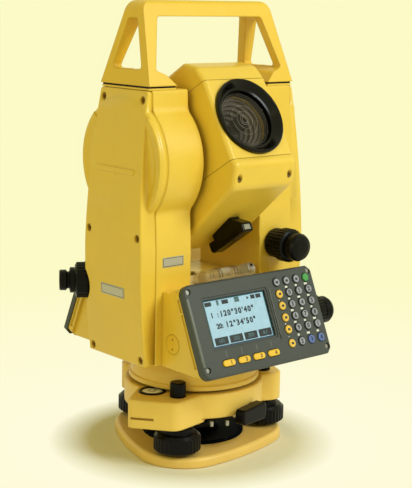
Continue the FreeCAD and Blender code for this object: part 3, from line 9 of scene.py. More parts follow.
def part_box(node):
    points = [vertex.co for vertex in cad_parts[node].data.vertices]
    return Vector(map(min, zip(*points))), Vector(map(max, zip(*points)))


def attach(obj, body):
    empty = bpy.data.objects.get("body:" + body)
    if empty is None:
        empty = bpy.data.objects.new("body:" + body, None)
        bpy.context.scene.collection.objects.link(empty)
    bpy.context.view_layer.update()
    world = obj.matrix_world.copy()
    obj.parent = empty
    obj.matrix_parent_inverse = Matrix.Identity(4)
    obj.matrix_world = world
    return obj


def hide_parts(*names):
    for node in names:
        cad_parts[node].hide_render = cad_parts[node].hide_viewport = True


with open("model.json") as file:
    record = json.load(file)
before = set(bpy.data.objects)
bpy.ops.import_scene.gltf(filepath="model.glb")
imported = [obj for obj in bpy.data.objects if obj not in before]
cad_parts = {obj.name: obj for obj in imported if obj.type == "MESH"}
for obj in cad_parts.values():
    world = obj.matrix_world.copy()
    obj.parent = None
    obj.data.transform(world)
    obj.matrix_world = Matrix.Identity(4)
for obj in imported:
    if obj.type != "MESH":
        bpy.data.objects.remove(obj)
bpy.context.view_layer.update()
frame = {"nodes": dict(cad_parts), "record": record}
MM = 0.001

# Sizes and places on the solids, in millimetres, with the tilts of the panels and of the telescope
BODY_BOTTOM = 76.4
SHOULDER_Z = 160.0
TRUNNION_Z = 221.6
STANDARD_TOP = 273.5
HANDLE_BASE_Z = 276.0
STANDARD_OUTER_X = 66.0
STANDARD_BOTTOM_HALF_Y, STANDARD_TOP_HALF_Y = 34.7, 28.4
COVER_BOTTOM_X, COVER_MIDDLE_X, COVER_TOP_X = 74.5, 79.2, 69.4
DISC_RIM_INNER_R, DISC_RIM_OUTER_R = 43.0, 48.5
PLATE_LEVEL_Y, PLATE_LEVEL_Z = -33.0, 136.4
PANEL_ORIGIN = (0, -86.5, 77.8)
PANEL_TILT = math.radians(23.85)
TELESCOPE_TILT = math.radians(30.8)
# Width of the softened edges of the moulded and cast pieces, in millimetres
SOFT_EDGES = {"carrying_handle": 2.2, "tribrach_body": 1.6, "front_keyboard_housing": 1.2,
              "back_keyboard_housing": 1.2}


# ---------------------------------------------------------------- material helpers
def rgb(red, green, blue):
    """Linear colour from display values of 0 to 255."""
    values = [c / 255 for c in (red, green, blue)]
    return tuple(c / 12.92 if c <= 10 / 255 else ((c + 0.055) / 1.055) ** 2.4 for c in values) + (1.0,)


def scaled(color, factor):
    """Lighter or darker colour."""
    return tuple(min(1.0, c * factor) for c in color[:3]) + (1.0,)


class Graph:
    """Node tree of a material."""

    def __init__(self, material):
        self.material = material
        self.material.use_nodes = True
        self.tree = self.material.node_tree
        self.shader = self.tree.nodes["Principled BSDF"]

    def add(self, kind, sockets=None, **settings):
        """New node with its settings and with values or links on its inputs."""
        node = self.tree.nodes.new("ShaderNode" + kind)
        for key, value in settings.items():
            setattr(node, key, value)
        for key, value in (sockets or {}).items():
            self.feed(node.inputs[key], value)
        return node

    def feed(self, socket, value):
        if isinstance(value, bpy.types.NodeSocket):
            self.tree.links.new(value, socket)
        else:
            socket.default_value = value

    def ranged(self, value, low, high, to_low=0.0, to_high=1.0):
        """Value mapped from one range to another."""
        return self.add("MapRange", {0: value, 1: low, 2: high, 3: to_low, 4: to_high}).outputs[0]

    def math(self, operation, first, second=0.0):
        return self.add("Math", {0: first, 1: second}, operation=operation).outputs[0]

    def mix(self, factor, first, second):
        return self.add("Mix", {0: factor, 6: first, 7: second}, data_type="RGBA").outputs[2]

    def noise(self, vector, scale, detail=3.0, rough=0.55):
        sockets = {"Vector": vector, "Scale": scale, "Detail": detail, "Roughness": rough}
        return self.add("TexNoise", sockets).outputs[0]


BARE_METAL = (0.5, 0.48, 0.45, 1.0)


def surface(name, color, rough=0.45, metallic=0.0, specular=0.5, shift=0.05, cloud=30.0, grain=1500.0,
            relief=0.00004, edge=0.0005, wear=0.0, shade_and_soiling=0.35, shade_and_soiling_color=None, stretch=None, coat=0.0):
    """Painted, moulded or machined surface: cloudy colour, painted shade and grime darkening the corners,
    worn edges and fine grain.
    """
    g = Graph(bpy.data.materials.new(name))
    where = g.add("TexCoord").outputs["Object"]
    if stretch:
        where = g.add("Mapping", {"Vector": where, "Scale": stretch}).outputs[0]
    broad = g.ranged(g.noise(where, cloud, 4.0), 0.3, 0.7)
    fine = g.noise(where, grain, 2.0)
    tone = g.mix(broad, scaled(color, 1 - shift), scaled(color, 1 + shift))
    speck = g.ranged(fine, 0.25, 0.75)
    tone = g.mix(g.math("MULTIPLY", speck, 0.25), tone, scaled(color, 1 - 2.5 * shift))
    # Ambient occlusion darkens hollows and corners: painted shade, with some grime.
    shade = g.add("AmbientOcclusion", {"Distance": 0.007}, samples=6).outputs["AO"]
    hollow_darkening = g.math("MULTIPLY", g.ranged(shade, 0.75, 0.25), shade_and_soiling)
    tone = g.mix(hollow_darkening, tone, shade_and_soiling_color or scaled(color, 0.35))
    smooth = g.add("Bevel", {"Radius": edge}, samples=4).outputs[0]
    if wear > 0:
        flat = g.add("NewGeometry").outputs["Normal"]
        bend = g.add("VectorMath", {0: smooth, 1: flat}, operation="DOT_PRODUCT").outputs["Value"]
        rim = g.ranged(bend, 0.985, 0.90)
        patch = g.ranged(g.noise(where, 160.0, 5.0, 0.7), 0.56, 0.66)
        tone = g.mix(g.math("MULTIPLY", g.math("MULTIPLY", rim, patch), wear), tone, BARE_METAL)
    bump = g.add("Bump", {"Strength": 0.6, "Distance": relief, "Height": fine, "Normal": smooth}).outputs[0]
    g.feed(g.shader.inputs["Base Color"], tone)
    g.feed(g.shader.inputs["Roughness"], g.ranged(broad, 0.0, 1.0, rough - 0.06, rough + 0.06))
    g.feed(g.shader.inputs["Normal"], bump)
    g.shader.inputs["Metallic"].default_value = metallic
    g.shader.inputs["Specular IOR Level"].default_value = specular
    g.shader.inputs["Coat Weight"].default_value = coat
    g.shader.inputs["Coat Roughness"].default_value = 0.25
    return g.material


def glass(name, color, alpha, rough=0.05, specular=0.5, coat=0.0):
    """Clear piece that lets the pieces behind it show, faintly dusty."""
    g = Graph(bpy.data.materials.new(name))
    where = g.add("TexCoord").outputs["Object"]
    dust = g.ranged(g.noise(where, 240.0, 4.0), 0.35, 0.75)
    g.feed(g.shader.inputs["Base Color"], g.mix(dust, color, scaled(color, 0.9)))
    g.feed(g.shader.inputs["Roughness"], g.ranged(dust, 0.0, 1.0, rough, rough + 0.08))
    g.feed(g.shader.inputs["Alpha"], g.ranged(dust, 0.0, 1.0, alpha, min(1.0, alpha + 0.04)))
    g.shader.inputs["Specular IOR Level"].default_value = specular
    g.shader.inputs["Coat Weight"].default_value = coat
    return g.material


paint = surface("paint", rgb(234, 198, 70), rough=0.36, wear=0.35, shift=0.035, coat=0.15, edge=0.0007)
plastic = surface("yellow_moulding", rgb(234, 194, 58), rough=0.42, relief=0.00006, shift=0.035,
                  edge=0.0014)
cast_paint = surface("cast_paint", rgb(238, 202, 98), rough=0.42, wear=0.5, relief=0.00007, shift=0.05,
                     edge=0.0014)
plate_paint = surface("plate_paint", rgb(234, 196, 104), rough=0.42, wear=0.6, relief=0.00007, shift=0.06,
                      edge=0.001)
black = surface("black_moulding", rgb(8, 8, 10), rough=0.3, specular=0.12, shift=0.12, relief=0.00003,
                shade_and_soiling=0.5, shade_and_soiling_color=rgb(9, 9, 10), edge=0.0006)
gloss_black = surface("black_lacquer", rgb(7, 7, 7), rough=0.16, specular=0.18, shift=0.1, relief=0.00001)
black_steel = surface("blackened_steel", rgb(3, 6, 14), rough=0.6, specular=0.02, shift=0.15, wear=0.25)
# Pale grey, lighter than a baffle is, so that the shaded inside of the tube shows grey round the black
# nose: painted light.
baffle = surface("light_baffle", rgb(134, 125, 113), rough=0.5, specular=0.3, shift=0.1, shade_and_soiling=0.2,
                 edge=0.0003)
steel = surface("turned_steel", rgb(168, 166, 160), rough=0.32, metallic=0.9, shift=0.06, stretch=(1, 1, 8),
                grain=600.0)
dark_steel = surface("shaded_steel", rgb(120, 92, 36), rough=0.4, metallic=0.5, shift=0.1)
silver = surface("satin_aluminium", rgb(206, 207, 208), rough=0.3, metallic=0.85, shift=0.04)
panel_grey = surface("panel_grey", rgb(68, 73, 74), rough=0.4, specular=0.28, relief=0.00005, edge=0.0006,
                     grain=2200.0)
# Lighter grey of the panel's rail and rib: painted highlight.
ridge_highlight_grey = surface("ridge_highlight_grey", rgb(98, 104, 103), rough=0.3, specular=0.4, relief=0.00003, edge=0.0006)
key_grey = surface("key_grey", rgb(150, 152, 170), rough=0.4, shift=0.06, edge=0.0008, shade_and_soiling=0.8,
                   shade_and_soiling_color=rgb(40, 42, 50))
key_yellow = surface("key_yellow", rgb(236, 192, 52), rough=0.42, shift=0.05, edge=0.0008, shade_and_soiling=0.6)
key_green = surface("key_green", rgb(66, 150, 76), rough=0.42, shift=0.05, edge=0.0008, shade_and_soiling=0.6)
key_blue = surface("key_blue", rgb(74, 104, 184), rough=0.42, shift=0.05, edge=0.0008, shade_and_soiling=0.6)
# The teal darkening in the display's hollows is painted shade of its recess; the faint blue glow set below
# is painted light, as the display is passive.
screen = surface("screen", rgb(200, 238, 255), rough=0.35, shift=0.03, cloud=12.0, grain=3000.0, shade_and_soiling=0.25,
                 shade_and_soiling_color=rgb(70, 132, 140), edge=0.0002)
painted_glow = screen.node_tree.nodes["Principled BSDF"]
painted_glow.inputs["Emission Color"].default_value = (0.2, 0.36, 1.0, 1.0)
painted_glow.inputs["Emission Strength"].default_value = 0.22
# Teal of the rim round the screen: painted shade of its recess.
recess_shade_teal = surface("screen_recess_shade", rgb(20, 92, 96), rough=0.4, shift=0.06, shade_and_soiling=0.3, edge=0.0002)
ink = surface("screen_ink", rgb(22, 34, 44), rough=0.5, shift=0.08, shade_and_soiling=0.0, edge=0.0001)
pale_ink = surface("screen_pale_ink", rgb(96, 140, 156), rough=0.5, shift=0.08, shade_and_soiling=0.0, edge=0.0001)
white_ink = surface("white_ink", rgb(222, 226, 220), rough=0.5, shift=0.05, shade_and_soiling=0.0, edge=0.0001)
dark_ink = surface("dark_ink", rgb(24, 26, 34), rough=0.5, shift=0.08, shade_and_soiling=0.0, edge=0.0001)
brown_ink = surface("brown_ink", rgb(96, 66, 16), rough=0.5, shift=0.08, shade_and_soiling=0.0, edge=0.0001)
bare_plate = surface("bare_plate", rgb(186, 182, 172), rough=0.36, metallic=0.5, stretch=(1, 1, 6),
                     edge=0.0003)
level_white = surface("level_white", rgb(238, 244, 255), rough=0.2, shift=0.06, cloud=400.0, shade_and_soiling=0.0,
                      edge=0.0004)
tick_grey = surface("tick_grey", rgb(136, 142, 138), rough=0.5, shift=0.05, shade_and_soiling=0.0, edge=0.0001)
# Dark ring round the foot of each grey key: painted shade.
key_shadow = surface("key_foot_shade", rgb(38, 40, 48), rough=0.5, shift=0.08, shade_and_soiling=0.3, edge=0.0003)
# Black of the band under the handle feet: painted shade of the gap.
gap_shade_black = surface("handle_gap_black", rgb(16, 15, 14), rough=0.6, specular=0.15, shift=0.1, edge=0.0003)
# Brownish tint of the clear holder: partly painted reflection of the dark telescope above it.
clear = glass("clear_holder", rgb(206, 186, 132), 0.28, rough=0.04, specular=0.7, coat=0.3)
window = glass("window", (0.012, 0.02, 0.025, 1.0), 0.05, rough=0.08, specular=0.3)
lens = glass("coated_lens", rgb(24, 20, 18), 0.08, rough=0.05, specular=0.35)
# Brownish tint of the vial: partly painted reflection of the dark telescope above it.
vial = glass("vial", rgb(176, 158, 116), 0.3, rough=0.03, specular=0.8, coat=0.5)
bubble = glass("bubble", rgb(236, 236, 220), 0.35, rough=0.05, specular=0.6)
# Bright and dull rings in the lens: painted reflections.
painted_reflection_bright = surface("painted_reflection_bright", rgb(168, 160, 150), rough=0.3, shift=0.06, shade_and_soiling=0.0, edge=0.0002)
painted_reflection_dull = surface("painted_reflection_dull", rgb(84, 78, 72), rough=0.35, shift=0.06, shade_and_soiling=0.0, edge=0.0002)
circle = glass("circle_glass", (0.85, 0.9, 0.92, 1.0), 0.4)


def screw_look():
    """Steel heads on the keyboards; further out, in the side covers, the heads are painted brown as the
    shade of the deep wells they sit in.
    """
    g = Graph(surface("casing_screw_steel", rgb(150, 148, 142), rough=0.35, metallic=0.8, shift=0.08))
    tone = g.shader.inputs["Base Color"].links[0].from_socket
    across = g.add("SeparateXYZ", {0: g.add("TexCoord").outputs["Object"]}).outputs[0]
    on_cover = g.math("GREATER_THAN", g.math("ABSOLUTE", across), (STANDARD_OUTER_X - 0.5) * MM)
    # Brown on the cover screws: painted shade of their wells.
    g.feed(g.shader.inputs["Base Color"], g.mix(on_cover, tone, rgb(128, 94, 26)))
    return g.material


SLOT_LOOKS = {
    "yellow_paint": paint, "yellow_plastic": plastic, "black_plastic": black, "black_gloss": gloss_black,
    "black_steel": black_steel, "steel": steel, "silver_metal": silver, "panel_grey": panel_grey,
    "display": screen, "window_glass": window, "lens_glass": lens, "level_glass": vial,
    "circle_glass": circle, "key_rubber": key_grey, "yellow_key": key_yellow, "green_key": key_green,
}
NODE_LOOKS = {
    "tribrach_body": cast_paint, "alidade_skirt": cast_paint, "base_plate": plate_paint,
    "laser_tube": baffle, "plate_level_holder": clear, "circular_level_vial": level_white,
    "casing_screws": screw_look(),
}
for subpart in frame["record"]["subparts"]:
    node = subpart["node"]
    look = NODE_LOOKS.get(node, SLOT_LOOKS[subpart["material_slot"]])
    for slot in frame["nodes"][node].material_slots:
        slot.material = look


for node, width in SOFT_EDGES.items():
    obj = frame["nodes"][node]
    weld = obj.modifiers.new("weld", "WELD")
    weld.merge_threshold = 0.00001
    bevel = obj.modifiers.new("soft_edges", "BEVEL")
    bevel.width = width * MM
    bevel.segments = 3
    bevel.limit_method = "ANGLE"
    bevel.angle_limit = math.radians(40)
    bevel.use_clamp_overlap = True
    bevel.harden_normals = True


# ---------------------------------------------------------------- Boolean helpers
def world_mesh(node):
    """Closed copy of a CAD piece's mesh, in the frame."""
    source = frame["nodes"][node]
    bm = bmesh.new()
    bm.from_mesh(source.data)
    bm.transform(source.matrix_world)
    bmesh.ops.remove_doubles(bm, verts=bm.verts, dist=0.000002)
    return bm


def prism(outline, low, high, along_y=False):
    """Block over a (y, z) outline from x = low to high, or over (x, z) in y. All in millimetres."""
    bm = bmesh.new()
    rings = []
    for depth in (low, high):
        points = [(side, depth, z) if along_y else (depth, side, z) for side, z in outline]
        rings.append([bm.verts.new(Vector(point) * MM) for point in points])
    for i in range(len(outline)):
        j = (i + 1) % len(outline)
        bm.faces.new((rings[0][i], rings[0][j], rings[1][j], rings[1][i]))
    bm.faces.new(rings[0])
    bm.faces.new(rings[1])
    bmesh.ops.recalc_face_normals(bm, faces=bm.faces)
    return bm


def combined(body, tool, operation):
    """Boolean of two skins. Returns a new one, and leaves nothing in the scene."""
    holders = []
    for bm in (body, tool):
        mesh = bpy.data.meshes.new("holder")
        bm.to_mesh(mesh)
        bm.free()
        holder = bpy.data.objects.new("holder", mesh)
        bpy.context.scene.collection.objects.link(holder)
        holders.append(holder)
    cut = holders[0].modifiers.new("cut", "BOOLEAN")
    cut.operation = operation
    cut.solver = "EXACT"
    cut.object = holders[1]
    bpy.context.view_layer.update()
    evaluated = holders[0].evaluated_get(bpy.context.evaluated_depsgraph_get())
    result = bmesh.new()
    result.from_mesh(evaluated.to_mesh())
    evaluated.to_mesh_clear()
    for holder in holders:
        mesh = holder.data
        bpy.data.objects.remove(holder)
        bpy.data.meshes.remove(mesh)
    for face in result.faces:
        face.material_index = 0
    return result


# ---------------------------------------------------------------- shape helpers
def rounded_outline(x, y, width, height, radius, steps=5):
    """Points of a rounded rectangle about (x, y), anticlockwise."""
    radius = max(1e-5, min(radius, width / 2 - 1e-5, height / 2 - 1e-5))
    points = []
    for corner, (sx, sy) in enumerate(((1, 1), (-1, 1), (-1, -1), (1, -1))):
        for step in range(steps + 1):
            angle = math.pi / 2 * (corner + step / steps)
            points.append((x + sx * (width / 2 - radius) + radius * math.cos(angle),
                           y + sy * (height / 2 - radius) + radius * math.sin(angle)))
    return points


def loft(bm, matrix, loops):
    """Closed skin through equal loops of points, each given as (outline, z)."""
    rings = [[bm.verts.new(matrix @ Vector((x, y, z))) for x, y in outline] for outline, z in loops]
    for low, high in zip(rings, rings[1:]):
        for i in range(len(low)):
            j = (i + 1) % len(low)
            bm.faces.new((low[i], low[j], high[j], high[i]))
    bm.faces.new(reversed(rings[0]))
    bm.faces.new(rings[-1])


def pad(bm, matrix, x, y, width, height, radius, low, high, soft):
    """Rounded plate with softened top edge. Millimetres in the matrix's own frame."""
    outline = rounded_outline(x, y, width, height, radius)
    loops = [(outline, low), (outline, high - soft)]
    for share in (0.4, 0.75, 1.0):
        cut = soft * (1 - math.cos(share * math.pi / 2))
        loops.append((rounded_outline(x, y, width - 2 * cut, height - 2 * cut, radius - cut),
                      high - soft + soft * math.sin(share * math.pi / 2)))
    loft(bm, matrix, loops)


def lathe(bm, matrix, profile, count=48, x=0.0, y=0.0):
    """Turned skin about a line along Z. Its (radius, height) points end on the line or close a ring."""
    angles = [2 * math.pi * i / count for i in range(count)]
    rings = []
    for radius, height in profile:
        points = [(x, y)]
        if radius:
            points = [(x + radius * math.cos(angle), y + radius * math.sin(angle)) for angle in angles]
        rings.append([bm.verts.new(matrix @ Vector((u, v, height))) for u, v in points])
    closed = len(rings[0]) > 1
    for low, high in zip(rings, rings[1:] + (rings[:1] if closed else [])):
        for i in range(count):
            j = (i + 1) % count
            corners = [low[i % len(low)], low[j % len(low)], high[j % len(high)], high[i % len(high)]]
            unique = list(dict.fromkeys(corners))
            if len(unique) > 2:
                bm.faces.new(unique)


def words(bm, matrix, text, x, y, z, size, bold=0.0, spread=1.0):
    """Flat raised characters in the matrix's XY plane, centred on (x, y)."""
    curve = bpy.data.curves.new("words", "FONT")
    curve.body = text
    curve.size = size
    curve.extrude = 0.03
    curve.offset = bold
    curve.space_character = spread
    curve.align_x = "CENTER"
    curve.align_y = "CENTER"
    curve.resolution_u = 3
    holder = bpy.data.objects.new("words", curve)
    bpy.context.scene.collection.objects.link(holder)
    bpy.context.view_layer.update()
    mesh = bpy.data.meshes.new_from_object(holder.evaluated_get(bpy.context.evaluated_depsgraph_get()))
    mesh.transform(matrix @ Matrix.Translation((x, y, z)))
    bm.from_mesh(mesh)
    bpy.data.meshes.remove(mesh)
    bpy.data.objects.remove(holder)
    bpy.data.curves.remove(curve)


def piece(name, bm, look, body, smooth=False):
    """Turn a bmesh into a named piece that rides on a body."""
    bmesh.ops.recalc_face_normals(bm, faces=bm.faces)
    mesh = bpy.data.meshes.new(name)
    bm.to_mesh(mesh)
    bm.free()
    obj = bpy.data.objects.new(name, mesh)
    bpy.context.scene.collection.objects.link(obj)
    mesh.materials.append(look)
    for polygon in mesh.polygons:
        polygon.use_smooth = smooth
    if smooth:
        mesh.set_sharp_from_angle(angle=math.radians(35))
    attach(obj, body)
    return obj


# ---------------------------------------------------------------- frames and outlines of the CAD
def basis(x_axis, y_axis, z_axis, origin):
    """Matrix from millimetres along three axes about an origin to the frame's metres."""
    matrix = Matrix((x_axis, y_axis, z_axis)).transposed().to_4x4()
    matrix.translation = Vector(origin)
    return Matrix.Scale(MM, 4) @ matrix


def panel_frame(back):
    """X to the right and Y up along a keyboard's panel, Z out of it."""
    sine, cosine = math.sin(PANEL_TILT), math.cos(PANEL_TILT)
    local = basis((1, 0, 0), (0, sine, cosine), (0, -cosine, sine), PANEL_ORIGIN)
    return Matrix.Rotation(math.pi, 4, "Z") @ local if back else local


def sight_frame():
    """X across, Z out of the objective, origin on the trunnion axis."""
    sine, cosine = math.sin(TELESCOPE_TILT), math.cos(TELESCOPE_TILT)
    z_axis = Vector((0, -cosine, sine))
    x_axis = Vector((1, 0, 0))
    return basis(x_axis, z_axis.cross(x_axis), z_axis, (0, 0, TRUNNION_Z))


def cover_face(z):
    """Distance of the outer face of a side cover from the centre plane at a height, and its slope there."""
    half_height = (STANDARD_TOP - BODY_BOTTOM) / 2
    share = (z - BODY_BOTTOM) / half_height - 1
    mean, lean = (COVER_BOTTOM_X + COVER_TOP_X) / 2, (COVER_TOP_X - COVER_BOTTOM_X) / 2
    bow = COVER_MIDDLE_X - mean
    return mean + lean * share + bow * (1 - share * share), (lean - 2 * bow * share) / half_height


def cover_frame(side, z):
    """Frame on the outer face of a side cover at a height: Y up the face, Z outwards."""
    x, slope = cover_face(z)
    y_axis = Vector((side * slope, 0, 1)).normalized()
    z_axis = Vector((side, 0, -slope)).normalized()
    return basis(y_axis.cross(z_axis), y_axis, z_axis, (side * x, 0, z))


def standard_sides(inset):
    """Side view of a standard without its bulge, as (y, z) points."""
    low, high = STANDARD_BOTTOM_HALF_Y - inset, STANDARD_TOP_HALF_Y - inset
    half = [(low + 0.02, BODY_BOTTOM - 6.4), (low + 0.02, SHOULDER_Z - 1.0), (low - 0.08, SHOULDER_Z + 1.4),
            (high + 0.02, STANDARD_TOP + 0.1), (high - 0.1, STANDARD_TOP + 6.5)]
    return half + [(-y, z) for y, z in reversed(half)]


# ---------------------------------------------------------------- right side, left cover
def trimmed(name, node, tool, operation):
    """Cut copy of a painted CAD piece, shown in its place."""
    bm = combined(world_mesh(node), tool, operation)
    obj = piece(name, bm, paint, "alidade", smooth=True)
    away = obj.vertex_groups.new(name="away_from_rim")
    for vertex in obj.data.vertices:
        reach = math.hypot(vertex.co.y, vertex.co.z - TRUNNION_Z * MM)
        if not DISC_RIM_INNER_R * MM < reach < DISC_RIM_OUTER_R * MM:
            away.add([vertex.index], 1.0, "REPLACE")
    # Large faces lead the shading away from the disc's rim, so that the screw holes leave no streaks
    even = obj.modifiers.new("even", "WEIGHTED_NORMAL")
    even.mode = "FACE_AREA"
    even.weight = 100
    even.keep_sharp = True
    even.vertex_group = away.name
    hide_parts(node)


def straight_right_side():
    """The right standard and its cover have plain sides, without the bulge of the left ones."""
    for node, inset in (("right_standard", 0.0), ("right_side_cover", 1.0)):
        trimmed("straight_" + node, node, prism(standard_sides(inset), 20.0, 100.0), "INTERSECT")


def flush_left_cover():
    """The trunnion disc of the left cover ends flush with its panel at the top."""
    low, high, outside = 256, 272, -90.0
    outline = [(-cover_face(z)[0] - 0.02, z) for z in range(low, high + 1)]
    outline += [(outside, high), (outside, low)]
    tool = prism(outline, -30.0, 30.0, along_y=True)
    trimmed("flush_left_side_cover", "left_side_cover", tool, "DIFFERENCE")


straight_right_side()
flush_left_cover()


# ---------------------------------------------------------------- keyboards
DISPLAY_X, DISPLAY_Y, DISPLAY_WIDTH, DISPLAY_HEIGHT = -17.9, 38.4, 60.0, 34.4
GLASS_Z = -2.22
KEY_TOP = 1.2
KEY_XS = [24.6 + 10.05 * column for column in range(4)]
KEY_YS = [59.2 - 8.93 * row for row in range(5)] + [13.0]
KEYS = [(row, column, x, y) for row, y in enumerate(KEY_YS) for column, x in enumerate(KEY_XS)]
POWER_KEY = (0, 3)
SOFT_XS = [-38.5 + 14.4 * index for index in range(4)]


def screen_content(back):
    """Figures of the display, on the glass of its module, inside a teal rim that is painted shade of the
    recess round the screen.
    """
    m = panel_frame(back)
    side = "back" if back else "front"
    dark, pale, border = bmesh.new(), bmesh.new(), bmesh.new()
    left = DISPLAY_X - DISPLAY_WIDTH / 2
    top = DISPLAY_Y + DISPLAY_HEIGHT / 2

    def block(bm, x0, x1, y0, y1, rise=0.05):
        """Raised rectangle, measured right and down from the display's top left corner."""
        pad(bm, m, left + (x0 + x1) / 2, top - (y0 + y1) / 2, x1 - x0, y1 - y0, 0.2, GLASS_Z,
            GLASS_Z + rise + 0.02, 0.02)

    # Top line: four bars, two small signs and an arrowhead
    for x0, x1 in ((2.4, 8.6), (18.5, 24.6), (46.3, 50.4), (51.4, 56.2)):
        block(dark, x0, x1, 1.7, 4.7)
    for x0, x1 in ((13.4, 15.6), (30.6, 35.2)):
        block(pale, x0, x1, 1.2, 5.0)
        block(dark, x0 + 0.5, x1 - 0.5, 1.9, 2.5, 0.08)
        block(dark, x0 + 0.5, x1 - 0.5, 3.4, 4.0, 0.08)
    lathe(dark, m, [(0, GLASS_Z), (1.5, GLASS_Z), (1.5, GLASS_Z + 0.07), (0, GLASS_Z + 0.07)], 3,
          left + 43.2, top - 3.3)
    # Two readings, each with its sign in front
    for text, x, y, size, bold, spread in (
            ("1", 6.8, 11.6, 5.0, 0.22, 1.0), (":", 12.4, 11.6, 5.0, 0.2, 1.0),
            ("120\u00b030'40\"", 30.4, 11.5, 5.6, 0.26, 1.3), ("20:", 11.6, 19.8, 5.0, 0.22, 1.0),
            ("12\u00b034'50\"", 31.6, 19.7, 5.6, 0.26, 1.3)):
        words(dark, m, text, left + x, top - y, GLASS_Z + 0.05, size, bold, spread)
    # Four boxes above the soft keys
    for index, text in enumerate(("101", "202", "303", "4.1")):
        start = 3.7 + 14.0 * index
        block(dark, start, start + 12.4, 27.6, 33.0)
        words(pale, m, text, left + start + 6.2, top - 30.4, GLASS_Z + 0.08, 3.9, bold=0.02)
    # Teal rim round the screen, widest at the left: painted shade of the recess walls.
    right, bottom = DISPLAY_WIDTH, DISPLAY_HEIGHT
    for x0, x1, y0, y1 in ((0.3, 2.0, 0.3, bottom - 0.3), (right - 1.3, right - 0.3, 0.3, bottom - 0.3),
                           (2.0, right - 1.3, 0.3, 1.1), (2.0, right - 1.3, bottom - 0.9, bottom - 0.3)):
        block(border, x0, x1, y0, y1)
    piece(side + "_screen_figures", dark, ink, "alidade")
    piece(side + "_screen_pale_figures", pale, pale_ink, "alidade")
    piece(side + "_screen_recess_shade", border, recess_shade_teal, "alidade")


def key_legends(back):
    """Numerals on the key tops, short marks between the rows and tick lines above the soft keys."""
    m = panel_frame(back)
    side = "back" if back else "front"
    numerals, marks, ticks = bmesh.new(), bmesh.new(), bmesh.new()
    number = 0
    for row, column, x, y in KEYS:
        if row < 5 and (row or column):
            gap = (y - KEY_YS[row + 1]) / 2
            wide, tall = (3.0, 1.5) if column else (1.1, 0.9)
            pad(marks, m, x - 1.2, y - gap - 0.1, wide - 0.5 * ((row + column) % 3), tall, 0.3,
                -0.01, 0.05, 0.02)
        if row and column:
            words(numerals, m, str(number % 10), x - 0.2, y - 0.1, KEY_TOP + 0.01, 4.4, bold=0.2)
            number += 1
        elif back or (row, column) != POWER_KEY:
            pad(numerals, m, x - 0.1, y - 0.1, 2.6, 1.9, 0.8, KEY_TOP - 0.01, KEY_TOP + 0.05, 0.02)
    for x in SOFT_XS:
        pad(ticks, m, x, 15.8, 0.26, 4.6, 0.1, -0.01, 0.04, 0.02)
    piece(side + "_key_numerals", numerals, dark_ink, "alidade")
    piece(side + "_panel_marks", marks, white_ink, "alidade")
    piece(side + "_panel_ticks", ticks, tick_grey, "alidade")


def soft_key_legends():
    """Figure on each soft key. On the front each rides on its moving key."""
    back_figures = bmesh.new()
    for index, x in enumerate(SOFT_XS):
        text = str(index + 1)
        bm = bmesh.new()
        words(bm, panel_frame(False), text, x + 1.6, 9.1, KEY_TOP + 0.01, 3.6, bold=0.22)
        piece("front_soft_key_" + text + "_figure", bm, brown_ink, "soft_key_" + text)
        words(back_figures, panel_frame(True), text, x + 1.6, 9.1, KEY_TOP + 0.05, 3.6, bold=0.22)
    piece("back_soft_key_figures", back_figures, brown_ink, "alidade")


def key_caps(back):
    """Coloured tops over the plain tops of the key mat, and dark rings of painted shade round the foot of
    the grey keys.
    """
    m = panel_frame(back)
    side = "back" if back else "front"
    looks = {"yellow": key_yellow, "blue": key_blue, "green": key_green}
    tops = {kind: bmesh.new() for kind in looks}
    foot_shades = bmesh.new()
    top_profile = [(0, KEY_TOP - 1.0), (3.16, KEY_TOP - 1.0), (3.16, KEY_TOP - 0.5), (2.7, KEY_TOP - 0.02),
                   (2.2, KEY_TOP + 0.02), (0, KEY_TOP + 0.03)]
    foot_shade_profile = [(3.18, KEY_TOP - 1.1), (3.2, KEY_TOP - 0.42), (2.5, KEY_TOP + 0.02),
                     (2.36, KEY_TOP - 0.5), (2.36, KEY_TOP - 1.1)]
    for row, column, x, y in KEYS:
        if (row, column) == POWER_KEY:
            if back:
                lathe(tops["green"], m, top_profile, 32, x, y)
        elif row and not column:
            lathe(tops["yellow"], m, top_profile, 32, x, y)
        elif row == 5 and column > 1:
            lathe(tops["blue"], m, top_profile, 32, x, y)
        else:
            lathe(foot_shades, m, foot_shade_profile, 32, x, y)
    if back:
        for x in SOFT_XS:
            pad(tops["yellow"], m, x, 9.2, 11.3, 4.7, 2.3, KEY_TOP - 1.0, KEY_TOP + 0.03, 0.5)
    piece(side + "_key_skirts", foot_shades, key_shadow, "alidade", smooth=True)
    for kind, bm in tops.items():
        if bm.verts:
            piece(side + "_" + kind + "_key_tops", bm, looks[kind], "alidade", smooth=True)
        else:
            bm.free()


def panel_ridges(back):
    """Rounded rail along the left edge of the panel and a thin rib beside the display's groove, both
    lighter grey than the panel as a painted highlight.
    """
    side = "back" if back else "front"
    for name, plate in (("_panel_rail", (-61.0, 34.0, 2.5, 50.0, 1.2, -0.6, 0.8, 0.75)),
                        ("_panel_rib", (16.0, 38.2, 0.6, 36.0, 0.3, -0.3, 0.35, 0.2))):
        bm = bmesh.new()
        pad(bm, panel_frame(back), *plate)
        piece(side + name, bm, ridge_highlight_grey, "alidade", smooth=True)


for back in (False, True):
    screen_content(back)
    key_legends(back)
    key_caps(back)
    panel_ridges(back)
soft_key_legends()


